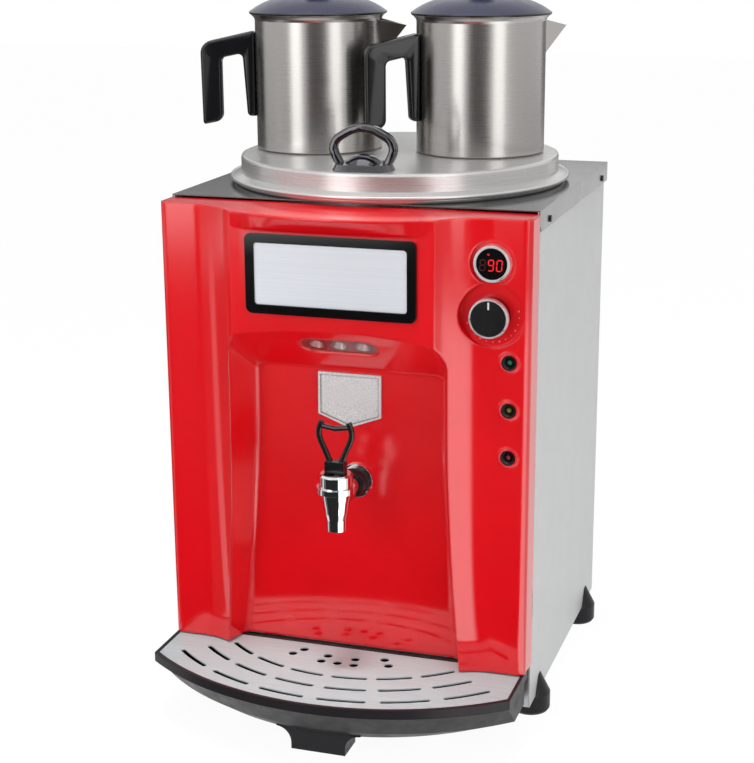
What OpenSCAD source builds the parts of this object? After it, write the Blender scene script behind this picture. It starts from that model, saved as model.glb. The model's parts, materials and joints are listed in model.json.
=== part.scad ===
// Electric tea urn: hot water boiler with a lever tap in a lit niche, a drip tray
// in front and two teapots that keep warm on the boiler lid.
// X runs across the front, Y from the column faces to the back, Z up from the floor.

/* [Body] */
// Width across the fascia
body_w = 400; // [390:1:430]
// Depth from the column faces to the back
body_d = 398; // [390:1:460]
// Height of the top plate above the floor
body_top = 564; // [560:1:620]
// Height of the casing above the floor
foot_h = 23; // [18:1:30]
// Thickness of the sheet metal
sheet = 1.2; // [0.8:0.1:2]
// Radius of the casing's rear corners
casing_r = 14; // [6:1:24]
// Height of the top plate's flanges
flange_h = 22; // [18:1:30]
// Gap between pieces that slide or lift past each other
fit_gap = 0.3; // [0.2:0.05:0.5]
// Radial clearance of shafts and stems that turn or slide in a bore
run_gap = 0.05; // [0.02:0.01:0.09]

/* [Fascia] */
// Depth of the fascia's side returns
fascia_d = 35; // [34:1:50]
// Wall of the moulding
fascia_wall = 3; // [2:0.5:3.5]
// Radius of the front corners
corner_r = 8; // [4:1:10]
// Width of the raised sign panel
panel_w = 218; // [206:1:226]
// How far the sign panel stands ahead of the columns
panel_step = 29; // [22:1:34]
// Reach of the coves that join the panel to the columns
cove_reach = 56; // [50:1:60]
// Height of the visor along the panel's top edge
visor_h = 20; // [14:1:20]
// How far the visor's lip stands ahead of the panel
visor_reach = 23; // [8:1:28]
// Depth of the vertical edge of the visor's lip
visor_lip = 2.5; // [1:0.5:5]

/* [Niche] */
// Width between the columns at the top of the niche
niche_w = 237; // [225:1:244]
// Extra half width at the foot of the niche
niche_flare = 15; // [0:1:20]
// Height over which the niche widens
niche_flare_h = 276; // [150:1:300]
// Lean of the niche's side walls towards the back, in degrees
niche_draft = 16; // [0:1:20]
// Height of the niche's front lip
niche_top = 441; // [425:1:445]
// Height of the back wall's top edge
niche_back_top = 391; // [388:1:410]
// Rise of the lip's arch
niche_crown = 7; // [0:1:12]
// Radius of the lip's upper corners
niche_corner = 20; // [8:1:28]
// Depth of the back wall behind the column faces, at its top
niche_depth = 31; // [24:1:31]
// How much further forward the back wall stands at its foot
niche_lean = 8; // [0:1:10]
// Fillet between the niche's walls and its back
niche_fillet = 6; // [2:1:10]

/* [Niche lamp] */
// Length of the lens
lens_l = 86; // [78:1:100]
// Width of the lens
lens_w = 30; // [26:1:34]
// Depth of the lamp behind the ceiling
lamp_depth = 11; // [8:1:13]
// Spacing of the three reflectors
reflector_pitch = 25; // [23:1:27]
// Diameter of a reflector
reflector_d = 20; // [14:1:22]
// Place of the lens along the sloped ceiling, from the lip
lens_along = 32; // [24:1:44]

/* [Sign and badge] */
// Width of the sign frame
sign_w = 182; // [150:1:196]
// Height of the sign frame
sign_h = 83; // [60:1:84]
// Height of the sign's centre
sign_z = 498; // [492:1:500]
// Width of the frame's border
sign_border = 9.5; // [6:0.5:14]
// Outer corner radius of the frame
sign_r = 7; // [4:1:12]
// Thickness of the frame
sign_t = 3; // [2:0.5:5]
// Width of the badge plate
badge_w = 70; // [50:1:90]
// Height of the badge plate's straight sides
badge_h = 46; // [30:1:50]
// Drop of the badge plate's point
badge_point = 13; // [6:1:20]
// Height of the badge plate's top edge
badge_z = 383; // [376:1:386]
// Thickness of the badge plate
badge_t = 4; // [2:0.5:6]

/* [Controls] */
// Distance of the thermometer and the knob from the body's side
control_inset = 39; // [36:1:42]
// Height of the thermometer
thermo_z = 516; // [512:1:524]
// Diameter of the thermometer's bezel
thermo_d = 38; // [34:1:40]
// Diameter of the thermometer's recess
thermo_recess_d = 45; // [42:1:48]
// How far the bezel stands ahead of its recess
thermo_out = 6.5; // [6:0.5:14]
// Height of the thermostat knob
knob_z = 463; // [458:1:468]
// Diameter of the knob
knob_d = 41; // [34:1:46]
// How far the knob's face stands ahead of the columns
knob_out = 18; // [14:1:24]
// Diameter of the dish round the knob
dish_d = 66; // [56:1:68]
// Depth of the dish and the recess behind the column face
dish_depth = 0.4; // [0.4:0.2:3]
// Diameter of the thermostat's shaft
shaft_d = 6; // [5:0.5:8]
// Distance of the indicator lamps from the body's side
lamp_inset = 21; // [20:1:24]
// Height of the top indicator lamp
lamp_z = 415; // [405:1:418]
// Spacing of the indicator lamps
lamp_pitch = 50; // [34:1:60]
// Diameter of an indicator's holder
lamp_d = 16; // [12:1:18]
// Depth of an indicator's holder behind the column face
holder_depth = 12; // [10:0.5:16]
// Diameter of an indicator's lamp
led_d = 5.2; // [4:0.2:6]

/* [Tap] */
// Offset of the tap from the centre plane
tap_x = 7; // [0:1:12]
// Height of the tap's shank
tap_z = 266; // [256:1:290]
// Reach of the tap ahead of the back wall
tap_reach = 67; // [56:1:80]
// Diameter of the shank
shank_d = 20; // [16:1:21]
// Diameter of the escutcheon on the wall
escutcheon_d = 37; // [32:1:44]
// Diameter of the bonnet
bonnet_d = 39.6; // [39:0.2:44]
// Height of the bonnet
bonnet_h = 14; // [13:0.5:18]
// Outer diameter at the spout's mouth
spout_d = 21; // [18:0.5:24]
// Drop of the spout under the shank
spout_drop = 33; // [28:1:45]
// Width of the lever's block
lever_w = 21; // [19:0.5:22]
// Height of the lever above its pivot
lever_h = 64; // [54:1:70]
// Width of the lever's loop
loop_w = 38; // [30:1:42]
// Lift of the stem when the tap is open
stem_lift = 4; // [3:0.5:4.5]

/* [Drip tray] */
// Distance of the tray's sides from the body's sides
tray_inset = 1; // [1:0.5:10]
// Reach of the rim's front ahead of the column faces
tray_reach = 128; // [110:1:150]
// Reach of the rim's front corners
tray_corner = 58; // [40:1:70]
// Height of the rim above the floor
tray_top = 74.5; // [70:0.5:84]
// Height of the rim band
rim_h = 10; // [8:1:14]
// Width of the rim's upper edge
rim_w = 3.5; // [3:0.5:6]
// Reach of the bowl's floor ahead of the column faces
bowl_reach = 88; // [70:1:96]
// Wall of the bowl
bowl_wall = 2.5; // [2:0.5:4]
// Depth of the tray behind the column faces
tray_back = 20; // [16:1:22]
// Width of the tray's front foot on the floor
tray_foot_w = 60; // [40:1:90]
// Width of a slot in the grille
slot_w = 5.5; // [3:0.5:7]
// Diameter of the grille's holes
hole_d = 10; // [6:0.5:11]
// Radius of the inner row of slots
slot_r = 183; // [175:1:188]
// Angle of each slot
slot_angle = 10.6; // [8:0.2:12]

/* [Feet] */
// Diameter of a corner foot
foot_d = 44; // [36:1:50]
// Distance of the feet's centres from the casing's sides
foot_inset = 11; // [9:1:14]
// Place of the front feet behind the column faces
foot_front = 82; // [70:1:110]
// Place of the rear feet ahead of the back
foot_back = 59; // [40:1:80]
// Height of a foot's fin above the casing's bottom edge
fin_h = 20; // [10:1:30]

/* [Boiler] */
// Gap between the front moulding and the tank
tank_front_gap = 7; // [6:0.5:12]
// Gap between the tank and the back
tank_back_gap = 24; // [22:0.5:32]
// Gap between the tank and the body's sides
tank_side_gap = 34; // [34:0.5:42]
// Wall of the tank
tank_wall = 1; // [0.8:0.1:1.5]
// Height of the tank's floor
tank_floor = 232; // [225:1:236]
// Radius of the tank's rolled edge
bead_r = 4.2; // [3:0.2:5]
// How far the lid's rim stands out from the tank
lid_over = 23.5; // [23:0.5:28]
// How far the lid's drum stands out from the tank
drum_over = 11; // [8:1:13]
// Height of the lid's drum above its flange
drum_h = 19; // [14:1:30]
// Fall of the lid's flange from the drum to the rim
flange_fall = 3.5; // [2:0.5:4]
// Radius of the lid's rolled rim
lid_rim_r = 2.2; // [1.6:0.1:2.8]
// Distance of the lid handle from the drum's edge
handle_inset = 30; // [27:1:39]
// Turn of the lid on the tank, in degrees
lid_turn = 2.5; // [-10:0.5:10]
// Width of the lid handle's loop
handle_w = 82; // [60:1:96]
// Height of the lid handle
handle_h = 48; // [40:1:60]
// Thickness of the heater's tubes
heater_d = 8.5; // [6:0.5:10]

/* [Teapots] */
// Radius of a teapot
pot_r = 71; // [62:1:72]
// Height of a teapot without its lid
pot_h = 150; // [130:1:170]
// Wall of a teapot
pot_wall = 1; // [0.8:0.1:1.5]
// How far the rim flares out
pot_flare = 6; // [4:0.5:7]
// Rise of a teapot lid's dome
dome_h = 15; // [10:1:20]
// Height of a lid knob
lid_knob_h = 30; // [24:1:36]
// Reach of a spout from the teapot's axis
spout_reach = 99; // [90:1:104]
// Reach of a handle from the teapot's axis
grip_reach = 133; // [128:1:134]
// Width of a handle
grip_w = 19; // [16:1:20]
// Breadth of a handle's outer leg
grip_leg = 23.5; // [18:0.5:25]
// Thickness of a handle's plate on the teapot
grip_plate = 10; // [9:0.5:12]
// Rounding of a handle's long edges
grip_edge = 3; // [2:0.5:3]
// Place of the left teapot across the front
left_pot_x = -98; // [-100:1:-92]
// Place of the left teapot behind the lid's axis
left_pot_back = 9; // [2:1:14]
// Turn of the left teapot, in degrees
left_turn = 16; // [8:1:24]
// Place of the right teapot across the front
right_pot_x = 86; // [84:1:92]
// Place of the right teapot behind the lid's axis
right_pot_back = 25; // [18:1:28]
// Turn of the right teapot, in degrees
right_turn = 32; // [30:1:40]

/* [Hidden] */
$fn = 96;
eps = 0.01;
cut = 60;

// Body
half_w = body_w / 2;
casing_half = half_w - sheet;
plate_z = body_top - sheet;
casing_top = plate_z;
fascia_top = body_top - 3;
fascia_bottom = tray_top + 1;
plate_screw_d = 7;
gland_d = 22;
gland_out = 16;
gland_x = -120;
gland_z = foot_h + 45;

// Fascia
panel_half = panel_w / 2;
cove_r = (pow(cove_reach, 2) + pow(panel_step, 2)) / (2 * panel_step);
cove_x = panel_half + cove_reach;
visor_steps = 28;

// Niche
niche_front = -panel_step - 16;
draft_y = -13;
niche_foot = fascia_bottom - 20;
flare_z = niche_foot + 20 + niche_flare_h;
back_slope = niche_lean / (niche_back_top - fascia_bottom);
ceiling_angle = atan2(niche_top - niche_back_top, panel_step + niche_depth);
lens_y = -panel_step + lens_along * cos(ceiling_angle);
lens_z = niche_top - lens_along * sin(ceiling_angle);

// Sign and badge
sign_y = -panel_step;
sign_plate_t = 1.5;
badge_y = back_y(badge_z - badge_h / 2);

// Controls
control_x = half_w - control_inset;
lamp_x = half_w - lamp_inset;
holder_out = 0.5;
holder_cone = 4.5;
led_back = 3;
recess_y = dish_depth;
thermo_hole_r = thermo_d / 2 - 3;
thermo_front = recess_y - thermo_out;
knob_back = recess_y - 1;
knob_ring_t = 5;
knob_ring_w = 2.2;
bush_d = shaft_d + 3;
thermostat_w = 34;
thermostat_d = 24;
thermostat_y = recess_y + fascia_wall;
lamp_count = 3;
lamp_colours = ["limegreen", "goldenrod", "firebrick"];

// Tap
wall_y = back_y(tap_z);
tap_y = wall_y - tap_reach;
tap_bottom = tap_z - spout_drop;
seat_z = tap_z - 8;
chamber_r = 11;
tap_wall = 5;
branch_d = shank_d + 5;
tap_top = tap_z + 15;
bonnet_top = tap_top + bonnet_h;
pivot_z = tap_top + 8;
pin_d = 4;
cheek_w = 4;
stem_d = 6;
lever_t = 11;
lever_block_top = pivot_z + 19;
spring_r = 9;

// Drip tray
tray_half = half_w - tray_inset;
rim_arc = arc_radius(tray_half, tray_reach - tray_corner);
bowl_mid = tray_top - 41;
bowl_mid_reach = tray_reach - (tray_reach - bowl_reach) * 0.72;
bowl_mid_corner = 22;
bowl_floor = foot_h + fit_gap;
bowl_floor_half = tray_half - 14;
bowl_floor_corner = 2;
grille_t = 1.5;
grille_z = tray_top - grille_t - 0.8;
tray_foot_y = -70;
tray_foot_d = 34;
foot_fillet = 17;
slot_rows = 3;
slot_pitch = 27;
slot_count = 6;
slot_step = 15;
slot_front = tray_reach - 18.5;
slot_grow = 35;
runner_w = 24;
runner_t = 2;
runner_x = 110;
runner_front = 40;
runner_back = 50;

// Feet
foot_x = half_w - foot_inset;
foot_y = [foot_front, body_d - foot_back];
foot_taper = foot_d / 2 - foot_inset;
foot_top = foot_h - 2;

// Boiler
tank_r = min((body_d - fascia_d - tank_front_gap - tank_back_gap) / 2, half_w - tank_side_gap);
tank_y = fascia_d + tank_front_gap + tank_r;
lid_r = tank_r + lid_over;
drum_r = tank_r + drum_over;
handle_r = drum_r - handle_inset;
bead_axis = tank_r + 14.8;
lid_sheet = 1;
seat_gap = 0.2;
lid_rim_x = lid_r - lid_rim_r;
lid_slope = atan2(flange_fall, lid_rim_x - drum_r + lid_sheet);
lid_base = body_top + bead_r + (bead_r + seat_gap) / cos(lid_slope)
  + lid_sheet - (lid_rim_x - bead_axis) * tan(lid_slope);
lid_top = lid_base + flange_fall + drum_h;
lid_handle_t = 13;
bow_t = 9;
handle_plate_w = 66;
handle_plate_d = 44;
handle_plate_t = 7;
handle_dome_h = 9.5;
handle_dome_r = handle_plate_w * 0.29;
handle_screw_d = 6;
heater_x = 18;
heater_z = tank_floor + 24;
heater_front = tank_y - tank_r * 0.45;
probe_d = 6;
probe_l = 70;
probe_x = tank_r * 0.5;
probe_z = tank_floor + 50;

// Teapots
left_pot_y = tank_y + left_pot_back;
right_pot_y = tank_y + right_pot_back;
grip_seat = pot_r + 0.1;
grip_top = pot_h - 19;
grip_fall = 13.5;
grip_bar = 24;
grip_foot = 36;
grip_tip = 26.5;
grip_steps = 6;
grip_rounds = [0.8, 5, 5, 6, 9, 3.2, 14, 3.2];
flare_h = 7;
pot_rim = pot_r + pot_flare;
lid_flange_r = pot_rim + 1.2;
dome_r = (pow(pot_r, 2) + pow(dome_h, 2)) / (2 * dome_h);
pot_lid_z = pot_h + fit_gap;
lid_sheet_t = 1.2;
lid_flange_h = 4;
spout_top = pot_h - 4;
spout_low = pot_h - 53;
spout_tip = pot_h - 14;
spout_half = 24;

// The origin lies under the middle of the whole object's box
box_left = left_pot_x + min([for (r = grip_rings()) for (p = r) turned_x(p, left_turn)]);
box_right = foot_x + foot_d / 2;
box_front = -tray_reach;
box_back = body_d + gland_out;
origin_x = (box_left + box_right) / 2;
origin_y = (box_front + box_back) / 2;

// Shared functions

function lerp(a, b, t) = a + (b - a) * t;
function unit(v) = v / norm(v);
function sign_power(v, e) = sign(v) * pow(abs(v), e);
function arc_radius(half_chord, rise) = (pow(half_chord, 2) + pow(rise, 2)) / (2 * rise);
function turned_x(p, turn) = -p.x * cos(turn) + p.y * sin(turn);
function back_y(z) = niche_depth - back_slope * (niche_back_top - z);

// Points of one rounded corner of a path: corner b between a and c, radius r, n steps
function corner_arc(a, b, c, r, n) =
  let (u = unit(a - b), v = unit(c - b), half = acos(u * v) / 2)
  let (mid = b + unit(u + v) * r / sin(half))
  let (p = b + u * r / tan(half) - mid, q = b + v * r / tan(half) - mid)
  let (a0 = atan2(p.y, p.x), turn = atan2(p.x * q.y - p.y * q.x, p * q))
  [for (i = [0:n]) mid + r * [cos(a0 + turn * i / n), sin(a0 + turn * i / n)]];

// A path through corner points with rounded corners
function rounded_path(p, r, n) = concat(
  [p[0]],
  [for (i = [1:len(p) - 2]) each corner_arc(p[i - 1], p[i], p[i + 1], r[i], n)],
  [p[len(p) - 1]]);

// Direction of a path at one of its points
function heading(p, i) = unit(p[min(i + 1, len(p) - 1)] - p[max(i - 1, 0)]);

// Rounded bar section: half sizes a in the path's plane and b across it
function bar_ring(p, i, a, b, sides, power) =
  let (t = heading(p, i), n = [-t.y, t.x])
  [for (k = [0:sides - 1])
    let (w = 360 * (k + 0.5) / sides)
    let (q = p[i] + n * a * sign_power(cos(w), power))
    [q.x, b * sign_power(sin(w), power), q.y]];

// Outline of a teapot handle in its own plane: plate on the teapot, finger gap, outer leg, top
function grip_corners() = [
  [grip_seat, grip_foot], [grip_seat + grip_plate, grip_foot],
  [grip_seat + grip_plate + 4.4, grip_top - grip_bar - 1],
  [grip_reach - grip_leg, grip_top - grip_bar - 6], [grip_reach - grip_leg, grip_tip + 4.5],
  [grip_reach - 1, grip_tip], [grip_reach, grip_top - grip_fall], [grip_seat, grip_top]];

// A corner moved inwards, and the rounding that goes with it
function left_of(v) = [-v.y, v.x] / norm(v);
function inset_corner(a, b, c, d) =
  let (m = left_of(b - a), n = left_of(c - b))
  b + (m + n) * d / (1 + m * n);
function inset_round(a, b, c, r, d) =
  let (u = b - a, v = c - b)
  max(0.5, u.x * v.y - u.y * v.x > 0 ? r - d : r + d);
function grip_ring(y, d) =
  let (p = grip_corners(), m = len(p))
  let (q = [for (i = [0:m - 1]) inset_corner(p[(i + m - 1) % m], p[i], p[(i + 1) % m], d)])
  let (r = [for (i = [0:m - 1]) inset_round(p[(i + m - 1) % m], p[i], p[(i + 1) % m], grip_rounds[i], d)])
  [for (i = [0:m - 1]) for (c = corner_arc(q[(i + m - 1) % m], q[i], q[(i + 1) % m], r[i], grip_steps)) [c.x, y, c.y]];
function grip_rings() =
  let (w = grip_w / 2, e = grip_edge)
  [grip_ring(-w, e), grip_ring(e * 0.5 - w, e * 0.35), grip_ring(1.3 * e - w, 0),
   grip_ring(w - 1.3 * e, 0), grip_ring(w - e * 0.5, e * 0.35), grip_ring(w, e)];

// Shared shapes

// Skin over a row of rings with equal point counts, closed at both ends. A bent outline names its fold:
// the first point of its inner run, which then pairs with the point before it, and so on round
module loft(rings, fold = 0) {
  n = len(rings[0]);
  m = len(rings);
  last = (m - 1) * n;
  pair = function (k) (2 * fold - 1 - k + n) % n;
  sides = [for (j = [0:m - 2]) for (i = [0:n - 1])
    let (k = (i + 1) % n)
    each [[j * n + i, j * n + k, (j + 1) * n + k], [j * n + i, (j + 1) * n + k, (j + 1) * n + i]]];
  strip = [for (k = [fold:fold + n / 2 - 2]) each [[k, k + 1, pair(k + 1)], [k, pair(k + 1), pair(k)]]];
  ends = fold > 0
    ? [for (t = strip) each [[t[2], t[1], t[0]], [last + t[0], last + t[1], last + t[2]]]]
    : [[for (i = [n - 1:-1:0]) i], [for (i = [0:n - 1]) last + i]];
  polyhedron([for (r = rings) each r], concat(sides, ends));
}

module along_y(x, z, y0, y1, r) {
  translate([x, y0, z]) rotate([-90, 0, 0]) cylinder(h = y1 - y0, r = r);
}

module rounded_square(w, h, r) {
  square([w - 2 * r, h], center = true);
  square([w, h - 2 * r], center = true);
  for (x = [-1, 1], y = [-1, 1]) translate([x * (w / 2 - r), y * (h / 2 - r)]) circle(r);
}

module stadium(l, w) {
  square([l - w, w], center = true);
  for (x = [-1, 1]) translate([x * (l - w) / 2, 0]) circle(w / 2);
}

// A flat outline stood upright, facing the front, from y0 to y1
module upright(y0, y1) {
  translate([0, y1, 0]) rotate([90, 0, 0]) linear_extrude(y1 - y0) children();
}

module to_origin() {
  translate([-origin_x, -origin_y, 0]) children();
}

// Casing, base and feet

module casing_outline(inset) {
  w = casing_half - inset;
  d = body_d - inset;
  r = casing_r - inset;
  translate([-w, fascia_d]) square([2 * w, d - fascia_d - r]);
  translate([-w + r, fascia_d]) square([2 * (w - r), d - fascia_d]);
  for (x = [-1, 1]) translate([x * (w - r), d - r]) circle(r);
}

module casing() {
  vents = 9;
  vent_pitch = 16;
  vent_h = 44;
  color("gainsboro") difference() {
    translate([0, 0, foot_h]) linear_extrude(casing_top - foot_h) casing_outline(0);
    translate([0, 0, foot_h - 1]) linear_extrude(casing_top - foot_h + 2) union() {
      casing_outline(sheet);
      translate([-casing_half + sheet, fascia_d - 1]) square([2 * (casing_half - sheet), 2]);
    }
    for (row = [0, 1], i = [0:vents - 1])
      translate([(i - (vents - 1) / 2) * vent_pitch, body_d + 1, foot_h + 120 + row * (vent_h + 22)])
        rotate([90, 0, 0]) linear_extrude(sheet + 2) rotate(90) stadium(vent_h, 5);
    along_y(gland_x, gland_z, body_d - sheet - 1, body_d + 1, gland_d / 2 - 4);
    for (s = [-1, 1], y = plate_screw_y())
      translate([s * casing_half, y, plate_screw_z()]) rotate([0, 90, 0]) cylinder(h = 4, r = 2, center = true);
  }
}

module base_pan() {
  wall_h = 38;
  front_h = fascia_bottom + 16 - foot_h;
  inset = sheet + 0.1;
  color("silver") difference() {
    translate([0, 0, foot_h]) linear_extrude(front_h) casing_outline(inset);
    translate([0, 0, foot_h + sheet]) linear_extrude(front_h) difference() {
      casing_outline(inset + sheet);
      translate([-half_w, fascia_d - 1]) square([body_w, sheet + 1]);
    }
    translate([-half_w, fascia_d + sheet, foot_h + wall_h]) cube([body_w, body_d, front_h]);
    along_y(gland_x, gland_z, body_d - 2 * sheet - 2, body_d + 1, gland_d / 2 - 4);
  }
}

module tray_runners() {
  color("silver") for (s = [-1, 1])
    translate([s * runner_x - runner_w / 2, -runner_front, foot_h - runner_t])
      cube([runner_w, runner_front + fascia_d + runner_back, runner_t]);
}

function plate_screw_y() = [fascia_d + 46, body_d - 33];
function plate_screw_z() = body_top - flange_h + 7;

module top_plate() {
  color("dimgray") difference() {
    union() {
      translate([-half_w, fascia_d, plate_z]) cube([body_w, body_d - fascia_d + sheet, sheet]);
      for (s = [-1, 1])
        translate([s * (half_w - sheet / 2) - sheet / 2, fascia_d, body_top - flange_h])
          cube([sheet, body_d - fascia_d + sheet, flange_h]);
      translate([-half_w, body_d, body_top - flange_h]) cube([body_w, sheet, flange_h]);
    }
    translate([0, tank_y, plate_z - 1]) cylinder(h = sheet + 2, r = tank_r + 1);
    for (s = [-1, 1], y = plate_screw_y())
      translate([s * half_w, y, plate_screw_z()]) rotate([0, 90, 0]) cylinder(h = 4, r = 2, center = true);
    for (s = [-1, 1])
      translate([s * half_w, fascia_d, body_top - flange_h]) rotate([45, 0, 0])
        cube([4 * sheet, 10, 10], center = true);
  }
}

module top_plate_screws() {
  color("black") for (s = [-1, 1], y = plate_screw_y())
    translate([s * half_w, y, plate_screw_z()]) rotate([0, s * 90, 0]) {
      cylinder(h = 1.8, r = plate_screw_d / 2);
      translate([0, 0, -6]) cylinder(h = 6, r = 1.8);
    }
}

module foot(s, y) {
  color("dimgray") difference() {
    translate([s * foot_x, y, 0]) {
      cylinder(h = 3, r1 = foot_d / 2 - 2, r2 = foot_d / 2);
      translate([0, 0, 3]) cylinder(h = foot_top - 3, r = foot_d / 2);
      translate([0, 0, foot_top])
        cylinder(h = foot_h + fin_h - foot_top, r1 = foot_d / 2, r2 = foot_d / 2 - foot_taper);
    }
    translate([-casing_half, 0, foot_h]) cube([2 * casing_half, body_d, body_top]);
  }
}

module front_left_foot() { foot(-1, foot_y[0]); }
module front_right_foot() { foot(1, foot_y[0]); }
module rear_left_foot() { foot(-1, foot_y[1]); }
module rear_right_foot() { foot(1, foot_y[1]); }

module cable_gland() {
  color("black") difference() {
    union() {
      along_y(gland_x, gland_z, body_d, body_d + 5, gland_d / 2);
      translate([gland_x, body_d + 5, gland_z]) rotate([-90, 0, 0])
        cylinder(h = gland_out - 5, r1 = gland_d / 2 - 1, r2 = gland_d / 2 - 4.5);
      along_y(gland_x, gland_z, body_d - 12, body_d, gland_d / 2 - 4.2);
    }
    along_y(gland_x, gland_z, body_d - 13, body_d + gland_out + 1, 4);
  }
}

// Fascia

// Plan of the moulding's front, drawn in by inset
module fascia_plan(inset) {
  w = half_w - inset;
  r = corner_r - inset;
  translate([-w, r + inset]) square([2 * w, fascia_d - r - inset]);
  translate([-w + r, inset]) square([2 * (w - r), r]);
  for (x = [-1, 1]) translate([x * (w - r), r + inset]) circle(r);
  difference() {
    translate([-cove_x, -panel_step + inset]) square([2 * cove_x, panel_step + eps]);
    for (x = [-1, 1]) translate([x * cove_x, 0.05 - cove_r]) circle(cove_r + inset, $fn = 200);
  }
}

module fascia_block() {
  translate([0, 0, fascia_bottom]) linear_extrude(fascia_top - fascia_bottom) fascia_plan(0);
}

// Visor: the panel's upper edge swells out into a bowed lip
module visor() {
  loft([for (i = [0:visor_steps])
    let (x = lerp(-panel_half, panel_half, i / visor_steps))
    let (lip = -panel_step - visor_reach * (1 - pow(x / panel_half, 2)))
    [[x, lip, fascia_top - visor_lip], [x, lip, fascia_top],
     [x, -panel_step + 1, fascia_top], [x, -panel_step + 1, fascia_top - visor_h]]]);
}

function niche_half(y, z) = niche_w / 2
  + niche_flare * pow(max(0, flare_z - z) / niche_flare_h, 2)
  - tan(niche_draft) * max(0, y - draft_y);

// One outline of the niche: share t of its depth, set in by inset, grown by grow
function niche_ring(t, back_off, inset, grow) =
  let (y_top = lerp(niche_front, niche_depth, t))
  let (run = min(1, max(0, (y_top + panel_step) / (panel_step + niche_depth))))
  let (top = lerp(niche_top, niche_back_top, run) - inset + grow)
  let (crown = niche_crown * (1 - run), r = lerp(niche_corner, niche_corner * 0.5, run))
  let (shoulder = top - crown - r, turn = [22.5, 45, 67.5])
  let (side = concat(
    [for (i = [0:6]) let (z = lerp(niche_foot, shoulder, i / 6)) [0, z]],
    [for (a = turn) [r * (1 - cos(a)), shoulder + r * sin(a)]]))
  let (right = [for (p = side)
    let (y = lerp(niche_front, back_y(p.y) + grow - back_off, t))
    [niche_half(y, p.y) - inset + grow - p.x, y, p.y]])
  let (x_end = niche_half(y_top, shoulder) - inset + grow - r)
  let (arch = [for (i = [0:6])
    let (x = lerp(x_end, -x_end, i / 6), z = top - crown * pow(x / x_end, 2))
    [x, lerp(niche_front, back_y(z) + grow - back_off, t), z]])
  concat(right, arch, [for (i = [len(right) - 1:-1:0]) [-right[i].x, right[i].y, right[i].z]]);

module niche_space() {
  span = niche_depth - niche_front;
  loft(concat(
    [for (y = [niche_front, -panel_step, draft_y]) niche_ring((y - niche_front) / span, 0, 0, 0)],
    [for (a = [0:30:90]) niche_ring(1, niche_fillet * (1 - sin(a)), niche_fillet * (1 - cos(a)), 0)]));
}

module niche_shell() {
  span = niche_depth - niche_front;
  loft([for (t = [0, (-panel_step - niche_front) / span, (draft_y - niche_front) / span, 1])
    niche_ring(t, 0, 0, fascia_wall)]);
}

// Brings a shape to the sloped ceiling, with +Z out of it into the niche
module on_ceiling() {
  translate([0, lens_y, lens_z]) rotate([180 - ceiling_angle, 0, 0]) children();
}

// The hollow behind the moulding, less what the niche and the recesses need
module fascia_hollow() {
  difference() {
    translate([0, 0, fascia_bottom + fascia_wall])
      linear_extrude(fascia_top - fascia_bottom - 2 * fascia_wall) union() {
        fascia_plan(fascia_wall);
        translate([-half_w + fascia_wall, fascia_d - 1]) square([body_w - 2 * fascia_wall, 2]);
      }
    niche_shell();
    along_y(control_x, knob_z, -cut, recess_y + fascia_wall, dish_d / 2 + fascia_wall);
    along_y(control_x, thermo_z, -cut, recess_y + fascia_wall, thermo_recess_d / 2 + fascia_wall);
  }
}

module fascia() {
  color("red") difference() {
    union() {
      fascia_block();
      visor();
      for (i = [0:lamp_count - 1])
        along_y(lamp_x, lamp_z - i * lamp_pitch, -1, 1, lamp_d / 2 + 2.5);
    }
    fascia_hollow();
    niche_space();
    along_y(control_x, knob_z, -cut, recess_y, dish_d / 2);
    along_y(control_x, knob_z, 0, cut, bush_d / 2 + fit_gap);
    along_y(control_x, thermo_z, -cut, recess_y, thermo_recess_d / 2);
    along_y(control_x, thermo_z, 0, cut, thermo_hole_r + fit_gap);
    for (i = [0:lamp_count - 1])
      along_y(lamp_x, lamp_z - i * lamp_pitch, -cut, cut, lamp_d / 2);
    along_y(tap_x, tap_z, 0, cut, shank_d / 2 + fit_gap);
    on_ceiling() translate([0, 0, -lamp_depth]) linear_extrude(lamp_depth + 8) stadium(lens_l, lens_w);
  }
}

module sign_frame() {
  color("black") translate([0, 0, sign_z]) upright(sign_y - sign_t, sign_y) difference() {
    rounded_square(sign_w, sign_h, sign_r);
    rounded_square(sign_w - 2 * sign_border, sign_h - 2 * sign_border, sign_r / 2);
  }
}

module sign_plate() {
  color("silver") translate([0, 0, sign_z]) upright(sign_y - sign_plate_t, sign_y)
    rounded_square(sign_w - 2 * sign_border, sign_h - 2 * sign_border, sign_r / 2);
}

module badge_outline(inset) {
  w = badge_w / 2 - inset;
  polygon([[-w, -inset], [-w, -badge_h + inset / 2], [0, -badge_h - badge_point + inset],
    [w, -badge_h + inset / 2], [w, -inset]]);
}

module badge_plate() {
  rim = 2.5;
  lean = atan(back_slope);
  color("silver") translate([0, back_y(badge_z), badge_z]) rotate([-lean, 0, 0]) difference() {
    upright(-badge_t, 0) badge_outline(0);
    upright(-badge_t - 1, 1 - badge_t) badge_outline(rim);
  }
}

// Niche lamp

module niche_lamp_housing() {
  color("white") on_ceiling() difference() {
    translate([0, 0, -lamp_depth]) linear_extrude(lamp_depth) stadium(lens_l - fit_gap, lens_w - fit_gap);
    translate([0, 0, -2]) linear_extrude(4) stadium(lens_l - 4, lens_w - 4);
    for (i = [-1:1]) translate([i * reflector_pitch, 0, 1.5 - lamp_depth]) cylinder(h = lamp_depth, r = reflector_d / 2);
  }
}

module niche_lamp_reflectors() {
  color("silver") on_ceiling() for (i = [-1:1])
    translate([i * reflector_pitch, 0, 1.5 - lamp_depth]) difference() {
      cylinder(h = lamp_depth - 3.5, r = reflector_d / 2);
      translate([0, 0, 1]) cylinder(h = lamp_depth, r1 = reflector_d / 5, r2 = reflector_d * 0.58);
    }
}

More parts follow.
